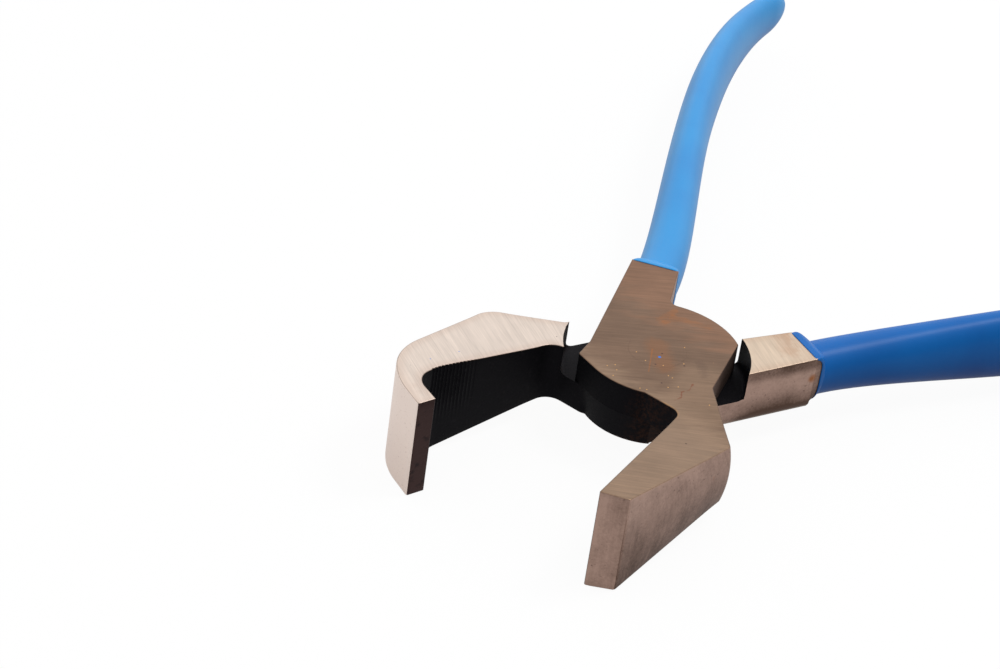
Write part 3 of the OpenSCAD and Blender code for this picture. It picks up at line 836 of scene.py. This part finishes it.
def placed(mesh, sizes, lower):
    """Moves a mesh of the upper lever into the tool: lifted by half the joint, or turned over first."""
    lift = Matrix.Translation((0, 0, sizes.joint.thickness / 2))
    mesh.transform(lift @ Matrix.Rotation(pi, 4, "Y") if lower else lift)
    return mesh


# ---- materials ----

# Marks on the straight lever's cheek, x and y in millimetres.
TANG_STREAK = (-5.1, 9.3), (-4.7, 12.3), (-2.6, 13), (2.2, 15.1)
RED_SCRATCH = (12.1, -4), (12.9, -6.2), (12.2, -8), (13.3, -9.5), (13, -11.4)
DARK_PITS = (2.8, -4.3), (1.4, -0.2), (7.1, -0.2), (7.6, -8.6), (23.9, -22.4)
GOLD_FLECKS = (
    (-3.5, -12.3), (-2.6, -10.8), (-1.3, -12.0), (-0.5, -14.2), (-2.5, -3.8), (0.6, -4.8),
    (4.1, -3.4), (7.0, -5.5), (8.0, -5.5), (9.4, -8.8), (10.7, -7.1), (5.8, -13.5),
    (7.0, -12.8), (18.7, -7.3), (3.2, 5.1), (6.6, 0.3),
)


class Value:
    """One output in a node tree, which Python's arithmetic joins to new Math nodes."""

    def __init__(self, tree, socket):
        self.tree, self.socket = tree, socket

    def math(self, operation, *others, clamp=False):
        settings = {"operation": operation, "use_clamp": clamp}
        return self.tree.node("ShaderNodeMath", settings, dict(enumerate((self, *others))))

    def __add__(self, other):
        return self.math("ADD", other)

    def __sub__(self, other):
        return self.math("SUBTRACT", other)

    def __mul__(self, other):
        return self.math("MULTIPLY", other)

    def __truediv__(self, other):
        return self.math("DIVIDE", other)

    def __rsub__(self, other):
        return self.tree.node("ShaderNodeMath", {"operation": "SUBTRACT"}, {0: other, 1: self})

    __radd__, __rmul__ = __add__, __mul__

    def step(self, low, high):
        """0 below low and 1 above high, or the reverse where low is the larger, eased between."""
        falling = low > high
        ends = {1: min(low, high), 2: max(low, high), 3: float(falling), 4: float(not falling)}
        smooth = {"interpolation_type": "SMOOTHSTEP"}
        return self.tree.node("ShaderNodeMapRange", smooth, {0: self, **ends})

    def clamped(self):
        return self.math("ADD", 0, clamp=True)


class Nodes:
    """A node tree, which is added to one node at a time."""

    def __init__(self, tree):
        self.nodes, self.links = tree.nodes, tree.links

    def node(self, kind, settings=None, inputs=None, output=0):
        """Adds a node. settings go first; inputs are values or outputs by socket name or number.
        Returns the output of that name or number."""
        made = self.nodes.new(kind)
        for key, value in (settings or {}).items():
            setattr(made, key, value)
        for key, value in (inputs or {}).items():
            self.join(made.inputs[key], value)
        return Value(self, made.outputs[output])

    def vector(self, operation, first, second, output=0):
        """Vector arithmetic on two places or colours."""
        inputs = {0: first, "Scale" if operation == "SCALE" else 1: second}
        return self.node("ShaderNodeVectorMath", {"operation": operation}, inputs, output)

    def join(self, socket, value):
        """Sets a socket, or links it where value is the output of a node."""
        if isinstance(value, Value):
            self.links.new(value.socket, socket)
        elif socket.type == "RGBA" and len(value) == 3:
            socket.default_value = (*value, 1)
        else:
            socket.default_value = value


class Finish(Nodes):
    """A material that ends in one Principled shader."""

    def __init__(self, name):
        self.material = bpy.data.materials.new(name)
        self.material.use_nodes = True
        super().__init__(self.material.node_tree)
        self.shader = self.nodes["Principled BSDF"]
        self.place = self.node("ShaderNodeTexCoord", output="Object")

    def feed(self, **sockets):
        """Joins the shader's sockets, written with _ for each space in their names."""
        for name, value in sockets.items():
            self.join(self.shader.inputs[name.replace("_", " ")], value)
        return self.material

    def mark(self, name):
        """A number stored on the mesh."""
        return self.node("ShaderNodeAttribute", {"attribute_name": name}, output="Fac")

    def along(self, axis):
        """The place's X, Y or Z."""
        return self.node("ShaderNodeSeparateXYZ", None, {0: self.place}, output=axis)

    def layered(self, shade, *layers):
        """A colour with others laid on it in turn, each [colour, share]."""
        settings = {"data_type": "RGBA", "clamp_factor": True}
        for over, share in layers:
            shade = self.node("ShaderNodeMix", settings, {0: share, 6: shade, 7: over}, output=2)
        return shade

    def turned(self, angle, along, across):
        """The place measured in lengths of along in a direction in plan, and of across beside it."""
        inputs = {"Vector": self.place, "Rotation": (0, 0, angle), "Scale": (along, across, along)}
        return self.node("ShaderNodeMapping", {"vector_type": "TEXTURE"}, inputs)

    def noise(self, size=1.0, detail=3, roughness=0.55, seed=0.0, place=None):
        """Fractal noise between 0 and 1 whose largest lumps are about size apart."""
        inputs = {"Vector": place or self.place, "W": seed, "Scale": 1 / size, "Detail": detail}
        inputs["Roughness"] = roughness
        return self.node("ShaderNodeTexNoise", {"noise_dimensions": "4D"}, inputs)

    def dots(self, radius, *places):
        """Round dots at places in plan, [x, y] in millimetres."""
        flat, mask = self.vector("MULTIPLY", self.place, (1, 1, 0)), 0
        for x, y in places:
            gap = self.vector("DISTANCE", flat, (x * MM, y * MM, 0), "Value")
            mask = gap.step(radius, 0.5 * radius) + mask
        return mask.clamped()

    def streak(self, width, *stops, ragged=0.0):
        """A soft line through stops in plan, [x, y] in millimetres: 1 on the line, 0 at width from it.
        The gap from a run r that starts at a is |p - a - r t|, with t = (p - a) . r / |r|^2 held
        between 0 and 1."""
        flat, nearness = self.vector("MULTIPLY", self.place, (1, 1, 0)), None
        wander = (self.noise(1.3 * MM, seed=41) - 0.5) * ragged
        for start, end in zip(stops, stops[1:]):
            first, run = Vector((*start, 0)) * MM, (Vector((*end, 0)) - Vector((*start, 0))) * MM
            away = self.vector("SUBTRACT", flat, first)
            share = self.vector("DOT_PRODUCT", away, run / run.length_squared, "Value")
            foot = self.vector("SCALE", run, share.clamped())
            near = (self.vector("DISTANCE", away, foot, "Value") + wander).step(width, 0.25 * width)
            nearness = near if nearness is None else nearness.math("MAXIMUM", near)
        return nearness

    def specks(self, size, share, radius):
        """Small round dots, one in some of the cells of size: share is how many cells have one."""
        settings = {"feature": "F1", "distance": "EUCLIDEAN"}
        cell = {"Vector": self.place, "Scale": 1 / size}
        near = self.node("ShaderNodeTexVoronoi", settings, cell, output="Distance")
        lot = self.node("ShaderNodeTexVoronoi", settings, cell, output="Color")
        chance = self.node("ShaderNodeSeparateColor", None, {0: lot}, output="Red")
        width = chance / share * (radius / size) + 0.2 * radius / size
        return (width - near).step(0, 0.3 * radius / size) * chance.step(share, share * 0.98)

    def bump(self, height, depth):
        """The surface raised by depth where height is 1."""
        return self.node("ShaderNodeBump", None, {"Height": height, "Distance": depth}, output="Normal")


def ground_lines(finish, angle):
    """Grinding lines in one direction, about -1 to 1: three sets of noise drawn out along it."""
    fine = finish.noise(detail=2, place=finish.turned(angle, 7 * MM, 0.2 * MM))
    middle = finish.noise(detail=2, seed=3, place=finish.turned(angle, 18 * MM, 0.5 * MM))
    coarse = finish.noise(detail=2, seed=7, place=finish.turned(angle, 40 * MM, 1.5 * MM))
    return (fine * 0.5 + middle * 0.33 + coarse * 0.17 - 0.5) * 6


def forged_skin(finish, colours, fall):
    """Colour and height of a forging's skin: pink-brown, darkened by fall, which carries the painted
    shade towards the walls' foot and their darker bands, with clouds, fine grains, pits, scratches and
    spots of rust."""
    clouds = finish.noise(6 * MM)
    grains = finish.noise(0.45 * MM, detail=4, roughness=0.6, seed=2)
    pits = finish.noise(0.8 * MM, detail=2, seed=5).step(0.64, 0.72)
    scratches = finish.noise(detail=1, seed=8, place=finish.turned(radians(70), 9 * MM, 0.35 * MM))
    spots = finish.noise(3.4 * MM, seed=17).step(0.66, 0.74)
    # fall brings the painted shade; clouds, grains and scratches vary the skin's own tone.
    shade = fall + (clouds - 0.5) * 0.9 + (grains - 0.5) * 0.7 + (scratches - 0.5) * 0.35
    skin = finish.layered(
        colours.forged,
        [colours.forged_dark_and_shade, shade.clamped()],
        [colours.forged_dark_and_shade, pits * 0.55],
        [colours.rust, spots * 0.25],
    )
    return skin, grains * 0.8 + clouds * 0.2 - pits * 0.5


def black_scale(finish, colours):
    """Colour of forge scale: nearly black, greyer where it has flaked."""
    flakes = finish.noise(1.1 * MM, detail=5, roughness=0.7, seed=9)
    bare = [2.2 * level + 0.003 for level in colours.scale]
    return finish.layered(colours.scale, [bare, flakes.step(0.56, 0.72) * 0.6])


def browned_cheek(finish, colours, lines, edge):
    """The straight lever's cheek: paler on the jaw, umber round the rivet and reddish on the tang,
    with streaks of rust, gold specks, scratches and dark dots."""
    where = finish.along("Y")
    clouds = finish.noise(8 * MM, detail=4, seed=4) - 0.5
    ragged = finish.noise(seed=12, place=finish.turned(ANVIL_GRIND, 9 * MM, 2 * MM)) - 0.5
    root = (where + ragged * 26 * MM).step(5 * MM, 15 * MM)
    ground = finish.layered(
        colours.anvil_cheek,
        [colours.anvil_joint, (where + ragged * 22 * MM).step(-17 * MM, -7 * MM)],
        [colours.anvil_root, root * 0.85],
        [colours.anvil_cheek, finish.dots(9 * MM, (14, -2), (17, -9)) * 0.55],
    )
    brown = finish.streak(3.4 * MM, (-1.3, 1.4), (2.4, -1.6), (4.7, -3.7), ragged=3 * MM)
    bands = finish.streak(1.2 * MM, (-6.2, 14.1), (-6.4, 9.6), ragged=2 * MM)
    bands = bands + finish.streak(1.3 * MM, *TANG_STREAK, ragged=2 * MM)
    worn = finish.streak(1.5 * MM, (8.7, 3.1), (12.1, 0.3), ragged=3 * MM)
    thin = finish.streak(0.2 * MM, (-0.9, -0.5), (3.4, -7.4), ragged=0.4 * MM)
    red = finish.streak(0.2 * MM, *RED_SCRATCH, ragged=MM)
    gold = finish.dots(0.16 * MM, *GOLD_FLECKS) + finish.specks(2.6 * MM, 0.1, 0.13 * MM)
    dark = finish.dots(0.28 * MM, *DARK_PITS) + finish.specks(3.7 * MM, 0.14, 0.16 * MM)
    notch = finish.dots(4.5 * MM, (15.5, -14)) * edge.step(0.55 * MM, 0.1 * MM)
    return finish.layered(
        finish.vector("SCALE", ground, lines * 0.21 + clouds * 0.5 + 1),
        [colours.rust, brown * 0.22],
        [colours.rust, bands * (ragged * 2 + 0.5).clamped() * 0.6],
        [colours.land, worn * 0.18],
        [colours.rust, thin * 0.45],
        [colours.red, red * 0.6],
        [colours.gold, gold.clamped()],
        [colours.land, dark.clamped() * 0.8],
        [colours.blue, finish.dots(0.42 * MM, (1.8, -1.6))],
        [colours.gold, notch * (clouds * 4 + 0.5).clamped() * 0.7],
        [colours.forged_dark_and_shade, edge.step(0.4 * MM, 0.05 * MM) * 0.3],
    )


def bright_cheek(finish, colours, lines, edge):
    """The hooked lever's cheek: pale and freshly ground, warmer along its inner edges and stained on
    the tang, with dark specks."""
    on_tang = finish.along("Y").step(-2 * MM, 4 * MM)
    clouds = finish.noise(7 * MM, detail=4, seed=4) - 0.5
    ground = finish.layered(colours.hook_cheek, [colours.hook_tang, on_tang * 0.8])
    stain = finish.streak(3.2 * MM, (14, 24), (18.5, 21), ragged=4 * MM)
    return finish.layered(
        finish.vector("SCALE", ground, lines * 0.17 + clouds * 0.2 + 1),
        [colours.rust, edge.step(2.6 * MM, 0.2 * MM) * 0.13],
        [colours.rust, stain * (clouds * 3 + 0.6).clamped() * 0.5],
        [colours.land, finish.specks(1.9 * MM, 0.2, 0.14 * MM) * 0.8],
        [colours.blue, finish.dots(0.2 * MM, (-24.5, -34.5), (-25.8, -42)) * 0.8],
        [colours.forged_dark_and_shade, edge.step(0.3 * MM, 0.04 * MM) * 0.4],
    )


def straight_skin(finish, colours):
    """The straight lever's forged walls: painted shade darkens them towards their foot, but on the
    jaw's tip it is nearly taken off, and the tip darkens towards its far side instead."""
    tip = finish.mark("run_tip")
    # Painted shade: the lower the wall stands, the darker it is.
    fall = (17 * MM - finish.along("Z")) / (22 * MM) * (1 - tip * 0.95)
    return forged_skin(finish, colours, fall + tip * finish.along("X").step(24 * MM, 30 * MM) * 0.28)


def hooked_skin(finish, colours, edge):
    """The hooked lever's forged walls, with a pale end, a browned land and a spot of rust by the tang,
    all darkened by painted shade towards their foot."""
    high = finish.along("Z")
    # Painted shade: darker towards the foot of the walls and of the pale end.
    foot = high.step(14 * MM, -6 * MM)
    back = finish.along("Y").step(4 * MM, 12 * MM)
    # fall: painted shade at the foot, more of it low on the tang, and darker bands near the cheek edges
    # and under the tang's upper edge.
    fall = foot * 0.3 + edge.step(3.6 * MM, 1.2 * MM) * 0.35 + high.step(12 * MM, 13 * MM) * 0.1
    fall = fall + back * (high.step(9.5 * MM, 12 * MM) * 0.4 + high.step(8 * MM, MM) * 0.8)
    skin, height = forged_skin(finish, colours, fall)
    speckle = finish.noise(0.45 * MM, seed=21).step(0.6, 0.75)
    pale = finish.layered(colours.end_grain, [colours.forged, speckle * 0.45 + foot * 0.12])
    squat = finish.vector("MULTIPLY", finish.place, (1, 1, 0.36))
    near = finish.vector("DISTANCE", squat, (-20.2 * MM, -53.5 * MM, 6.552 * MM), "Value")
    blots = finish.noise(2.6 * MM, detail=4, seed=33)
    land = finish.layered(
        colours.land,
        [colours.scale, blots.step(0.55, 0.68) * 0.6],
        [colours.land_bare, near.step(3.4 * MM, 3.0 * MM) * 0.85],
    )
    spot = finish.vector("DISTANCE", finish.place, (23.5 * MM, 22.9 * MM, 8.2 * MM), "Value")
    spot = (spot + (blots - 0.5) * 1.5 * MM).step(1.5 * MM, 0.5 * MM)
    on_end, on_land = finish.mark("run_end"), finish.mark("run_land")
    return finish.layered(skin, [pale, on_end], [land, on_land], [colours.rust, spot]), height


def lever_steel(name, colours, angle, hooked):
    """Steel of a lever: ground cheeks with their lines, forged walls, and black scale in the laps and
    the throat."""
    finish = Finish(name)
    cheek, scaled, edge = finish.mark("cheek"), finish.mark("scale"), finish.mark("edge")
    lines = ground_lines(finish, angle)
    if hooked:
        ground = bright_cheek(finish, colours, lines, edge)
        skin, skin_height = hooked_skin(finish, colours, edge)
    else:
        ground = browned_cheek(finish, colours, lines, edge)
        skin, skin_height = straight_skin(finish, colours)
    ragged = finish.noise(1.2 * MM, detail=4, seed=15)
    patch = finish.streak(7 * MM, (9, -11.5), (14.5, -8), ragged=6 * MM)
    crumbs = finish.noise(0.7 * MM, detail=4, roughness=0.7, seed=25).step(0.4, 0.66)
    oxide = finish.layered(black_scale(finish, colours), [colours.umber, patch * crumbs * 0.55])
    worn = (edge + (ragged - 0.5) * 0.8 * MM).step(0.3 * MM, 0.02 * MM) * scaled
    shade = finish.layered(skin, [oxide, scaled], [colours.forged_dark_and_shade, worn * 0.45], [ground, cheek])
    rough = cheek * (lines * 0.05 + 0.4) + (1 - cheek) * (scaled * 0.12 + 0.5)
    height = cheek * lines * 0.12 + (1 - cheek) * skin_height * 2
    normal = finish.bump(height, 0.03 * MM)
    return finish.feed(Base_Color=shade, Metallic=1.0, Roughness=rough, Normal=normal)


def rivet_steel(colours):
    """Steel of the rivet: ground with the cheek at each end, bright below and browned above."""
    finish = Finish("rivet steel")
    lines = ground_lines(finish, ANVIL_GRIND)
    far_from_edge = finish.node("ShaderNodeValue")
    far_from_edge.socket.default_value = 5 * MM
    above = browned_cheek(finish, colours, lines, far_from_edge)
    below = finish.vector("SCALE", colours.hook_cheek, lines * 0.075 + 1)
    shade = finish.layered(below, [above, finish.along("Z").step(4 * MM, 9 * MM)])
    normal = finish.bump(lines * 0.12, 0.03 * MM)
    return finish.feed(Base_Color=shade, Metallic=1.0, Roughness=lines * 0.05 + 0.4, Normal=normal)


def dip_coating(name, thin, thick_and_painted_shade, shine):
    """Blue plastisol: a satin skin with soft clouds of depth, painted shade that deepens its lower
    side, and a faint orange peel.
    """
    finish = Finish(name)
    clouds = finish.noise(16 * MM)
    # Painted shade: under deepens the coating towards the grip's lower side.
    under = finish.along("Z").step(9 * MM, -2 * MM)
    shade = finish.layered(thin, [thick_and_painted_shade, clouds.step(0.3, 0.8) * 0.2 + under * 0.65])
    peel = finish.bump(finish.noise(MM, detail=2, seed=6), 0.02 * MM)
    rough = clouds * 0.08 + 0.33
    return finish.feed(Base_Color=shade, Roughness=rough, Normal=peel, Specular_IOR_Level=shine)


# ---- operators ----


def build_lever(sizes, hooked):
    """One lever's steel as it lies in its own frame: the outline's wall and cheeks, less the lap room
    and the rivet's bore, with the numbers that its finish reads."""
    side = sizes.hook if hooked else sizes.anvil
    corners, names = (hook_corners if hooked else anvil_corners)(sizes)
    points, runs = lever_outline(sizes, corners, names, side.flat, side.flat_turn, side.shoulder)
    steps = np.where(hooked & (runs == "inner"), TOOTH_STEP, WALL_STEP)
    points, runs = refined(points, runs, steps)
    normals = outward(points)
    upper = np.full(len(points), EDGE_BREAK)
    lower = upper.copy()
    crown, grooves = np.zeros(len(points)), np.zeros(len(points))
    drawn = np.zeros(len(points), dtype=bool)
    if hooked:
        along, across, corner, _ = tang_frame(sizes.tang)
        # The tang's larger rounding fades out past its outer edge. The corner with the tang's end
        # moves in by it from the outer side, and by the small rounding from the end.
        turn = np.argmin(np.linalg.norm(points - corner, axis=1))
        spread = ease(1 - nearest(points, points[runs == "tang_out"])[0] / EDGE_FADE)
        spread[(runs == "tang_end") & (np.arange(len(points)) != turn)] = 0
        upper = upper + (sizes.tang.edge - upper) * spread
        normals[turn] = across + along * lower[turn] / upper[turn]
        front = points[:, 1] < -sizes.tang.outer * sin(sizes.tang.lean)
        drawn = front & np.isin(runs, ["throat", "spur", "tang_out"])
        grooves = tooth_grooves(points, runs, sizes)
    else:
        y, start, rise, end, fall = points[:, 1], -10 * MM, 6 * MM, -58 * MM, 30 * MM
        bulge = ease((start - y) / rise) * ease((y - end) / fall)
        crown = side.crown * bulge * np.isin(runs, ["outer", "shoulder"])
    rows = wall_rows(points, normals, sizes, (upper, lower), crown, grooves, drawn)
    if hooked:
        end = runs == "tang_end"
        rows[:, end] = within_edge(rows[:, end], sizes)
    name = "hook_lever" if hooked else "anvil_lever"
    blank = lever_body(name, rows, sizes)
    fit = 0 if hooked else sizes.joint.seam
    bore = lathe("rivet bore", rivet_profile(sizes, fit, 2 * MM), BORE_SIDES)
    mesh = cut(blank, [lap_cutter(sizes), bore])
    mesh.name = name + "_steel"
    return painted(mesh, points, runs, sizes)


def joined(name, meshes):
    """One mesh of several, their faces and stored numbers kept."""
    pieces = [put(mesh) for mesh in meshes]
    with bpy.context.temp_override(active_object=pieces[0], selected_editable_objects=pieces):
        bpy.ops.object.join()
    mesh = pieces[0].data
    bpy.data.objects.remove(pieces[0])
    mesh.name = name
    return mesh


def forge(context, side, steel, shoulder):
    """Shows one lever's steel, its blade and its rein in one piece."""
    sizes, hooked = context.scene.pincers, side == "hook"
    blade, rein = build_lever(sizes, hooked), rein_mesh(shoulder, sizes)
    mesh = placed(joined(side + "_lever_steel", [blade, rein]), sizes, hooked)
    finish_piece(mesh, steel, side + "_half", side + "_lever")


class PINCERS_OT_anvil_lever(bpy.types.Operator):
    """Build the lever with the straight jaw"""

    bl_idname = "pincers.anvil_lever"
    bl_label = "Straight-jaw lever"

    def execute(self, context):
        steel = lever_steel("browned steel", context.scene.pincers.finish, ANVIL_GRIND, False)
        forge(context, "anvil", steel, ANVIL_SHOULDER)
        return {"FINISHED"}


class PINCERS_OT_hook_lever(bpy.types.Operator):
    """Build the lever with the hooked, serrated jaw"""

    bl_idname = "pincers.hook_lever"
    bl_label = "Hooked-jaw lever"

    def execute(self, context):
        steel = lever_steel("bright steel", context.scene.pincers.finish, HOOK_GRIND, True)
        forge(context, "hook", steel, HOOK_SHOULDER)
        return {"FINISHED"}


class PINCERS_OT_rivet(bpy.types.Operator):
    """Build the rivet with its two flush heads"""

    bl_idname = "pincers.rivet"
    bl_label = "Rivet"

    def execute(self, context):
        sizes = context.scene.pincers
        turned = lathe("rivet_steel", rivet_profile(sizes, 0, 0), RIVET_SIDES)
        mesh = placed(turned, sizes, False)
        steel = rivet_steel(sizes.finish)
        finish_piece(mesh, steel, "hook_half", "pivot_rivet")
        return {"FINISHED"}


class PINCERS_OT_grips(bpy.types.Operator):
    """Build the two dipped grips"""

    bl_idname = "pincers.grips"
    bl_label = "Grips"

    def execute(self, context):
        sizes = context.scene.pincers
        colours = sizes.finish
        anvil = dip_coating("blue dip coating", colours.coating, colours.coating_deep_and_shade, 0.5)
        # The hooked lever's grip gets the darker copies of the coating's colours, which are painted
        # shade, and less shine.
        shades = colours.hook_coating_painted_shade, colours.hook_coating_deep_painted_shade
        hook = dip_coating("blue dip coating with painted shade", *shades, 0.18)
        sides = ("anvil", anvil, ANVIL_SHOULDER), ("hook", hook, HOOK_SHOULDER)
        for side, coating, shoulder in sides:
            mesh = placed(grip_mesh(side + "_grip_skin", shoulder, sizes), sizes, side == "hook")
            finish_piece(mesh, coating, side + "_half", side + "_lever_grip")
        return {"FINISHED"}


class PINCERS_OT_stage(bpy.types.Operator):
    """Add the floor, the soft light and the camera"""

    bl_idname = "pincers.stage"
    bl_label = "Stage"

    def execute(self, context):
        scene = context.scene
        floor = put(floor_mesh(CAD_BOX[0].z - 0.05 * MM))
        floor.data.materials.append(floor_paint())
        light_world(scene)
        soft_lamp(scene, "top panel", Vector((0.3, 0.42, 0.88)), 0.3, 3.2)
        scene.camera = camera(scene)
        scene.view_settings.view_transform = "Standard"
        return {"FINISHED"}


# ---- stage ----

SKY_LOW, SKY_HIGH = 0.06, 1.2  # level of the dim and of the bright side of the sky


def floor_mesh(height):
    """A round floor: rings of growing radius r = R s^2 at one height."""
    rings, reach = 12, 2.5
    share = np.arange(1, rings + 1) / rings
    profile = np.stack([reach * share**2, np.full(rings, height)], axis=1)
    grid = turned_rings(profile, FLOOR_SIDES)
    faces = tube_faces(rings, FLOOR_SIDES) + pole_faces(np.arange(FLOOR_SIDES), len(grid), True)
    return mesh_from("floor", np.vstack([grid, [0, 0, height]]), faces)


def floor_paint():
    """White paint that a camera or a mirror sees as lit paper, with the shadow kept in it."""
    finish = Finish("white floor")
    to_camera = finish.node("ShaderNodeLightPath", output="Is Camera Ray")
    to_mirror = finish.node("ShaderNodeLightPath", output="Is Glossy Ray")
    share = to_camera * 0.88 + to_mirror * 0.42
    paper = finish.node("ShaderNodeEmission", None, {"Color": (1, 1, 1), "Strength": 1.07})
    finish.feed(Base_Color=(0.42, 0.42, 0.42), Roughness=1.0, Specular_IOR_Level=0.0)
    lit = Value(finish, finish.shader.outputs[0])
    mixed = finish.node("ShaderNodeMixShader", None, {0: share, 1: lit, 2: paper})
    finish.join(finish.nodes["Material Output"].inputs["Surface"], mixed)
    return finish.material


def light_world(scene):
    """A soft sky: white to the camera, and to everything else a level that rises smoothly from its
    dim side to its bright side, low + (high - low) s((1 + d . b) / 2) for a direction d, where s is
    the smoothstep."""
    world = bpy.data.worlds.new("soft sky")
    world.use_nodes = True
    scene.world = world
    tree = Nodes(world.node_tree)
    way = tree.node("ShaderNodeTexCoord", output="Generated")
    slope = tree.vector("DOT_PRODUCT", way, Vector((-0.5, 0.55, 0.67)).normalized(), "Value")
    ends = {"From Min": -1, "From Max": 1, "To Min": SKY_LOW, "To Max": SKY_HIGH}
    smooth = {"interpolation_type": "SMOOTHSTEP"}
    sky = tree.node("ShaderNodeMapRange", smooth, {"Value": slope, **ends})
    seen = tree.node("ShaderNodeLightPath", output="Is Camera Ray")
    background = tree.nodes["Background"]
    tree.join(background.inputs["Color"], (1, 1, 1))
    level = tree.node("ShaderNodeMix", None, {0: seen, 2: sky, 3: 1.0})
    tree.join(background.inputs["Strength"], level)


def soft_lamp(scene, name, place, size, power):
    """A square panel that faces the joint."""
    light = bpy.data.lights.new(name, "AREA")
    light.size, light.energy = size, power
    lamp = bpy.data.objects.new(name, light)
    lamp.location = place
    lamp.rotation_euler = (Vector((0, 0.04, 0)) - place).to_track_quat("-Z", "Y").to_euler()
    scene.collection.objects.link(lamp)


def camera(scene):
    """The camera: azimuth and elevation of its line of sight, and its roll about that line."""
    azimuth, elevation, roll = radians(34.805), radians(34.26), radians(8.296)
    lens = bpy.data.cameras.new("camera")
    lens.sensor_width, lens.lens = 36, 112.898
    eye = bpy.data.objects.new("camera", lens)
    place = (0.275816, -0.453214, 0.371927)
    ahead = Vector((-sin(azimuth) * cos(elevation), cos(azimuth) * cos(elevation), -sin(elevation)))
    level = Vector((cos(azimuth), sin(azimuth), 0))
    right = level * cos(roll) + level.cross(ahead) * sin(roll)
    up = right.cross(ahead)
    turn = Matrix((right, up, -ahead)).transposed()
    eye.matrix_world = Matrix.Translation(place) @ turn.to_4x4()
    scene.collection.objects.link(eye)
    return eye


class PINCERS_PT_panel(bpy.types.Panel):
    """Sizes and build steps of the pincers."""

    bl_label = "Pincers"
    bl_idname = "PINCERS_PT_panel"
    bl_space_type = "VIEW_3D"
    bl_region_type = "UI"
    bl_category = "Pincers"

    def draw(self, context):
        layout = self.layout
        sizes = context.scene.pincers
        for step in STEPS:
            layout.operator(step.bl_idname)
        for group in ("joint", "jaw", "anvil", "hook", "tang", "handle", "finish"):
            box = layout.box()
            box.label(text=group.title())
            values = getattr(sizes, group)
            for name in values.bl_rna.properties.keys():
                if name not in ("rna_type", "name"):
                    box.prop(values, name)


STEPS = (
    PINCERS_OT_anvil_lever,
    PINCERS_OT_hook_lever,
    PINCERS_OT_rivet,
    PINCERS_OT_grips,
    PINCERS_OT_stage,
)
CLASSES = (
    JointSizes,
    JawSizes,
    StraightJawSizes,
    HookedJawSizes,
    TangSizes,
    HandleSizes,
    Finishes,
    PincerSizes,
    *STEPS,
    PINCERS_PT_panel,
)


def register():
    for cls in CLASSES:
        bpy.utils.register_class(cls)
    bpy.types.Scene.pincers = PointerProperty(type=PincerSizes)


def unregister():
    del bpy.types.Scene.pincers
    for cls in reversed(CLASSES):
        bpy.utils.unregister_class(cls)


def main():
    register()
    for step in STEPS:
        getattr(bpy.ops.pincers, step.bl_idname.split(".")[1])()


if __name__ == "__main__":
    main()
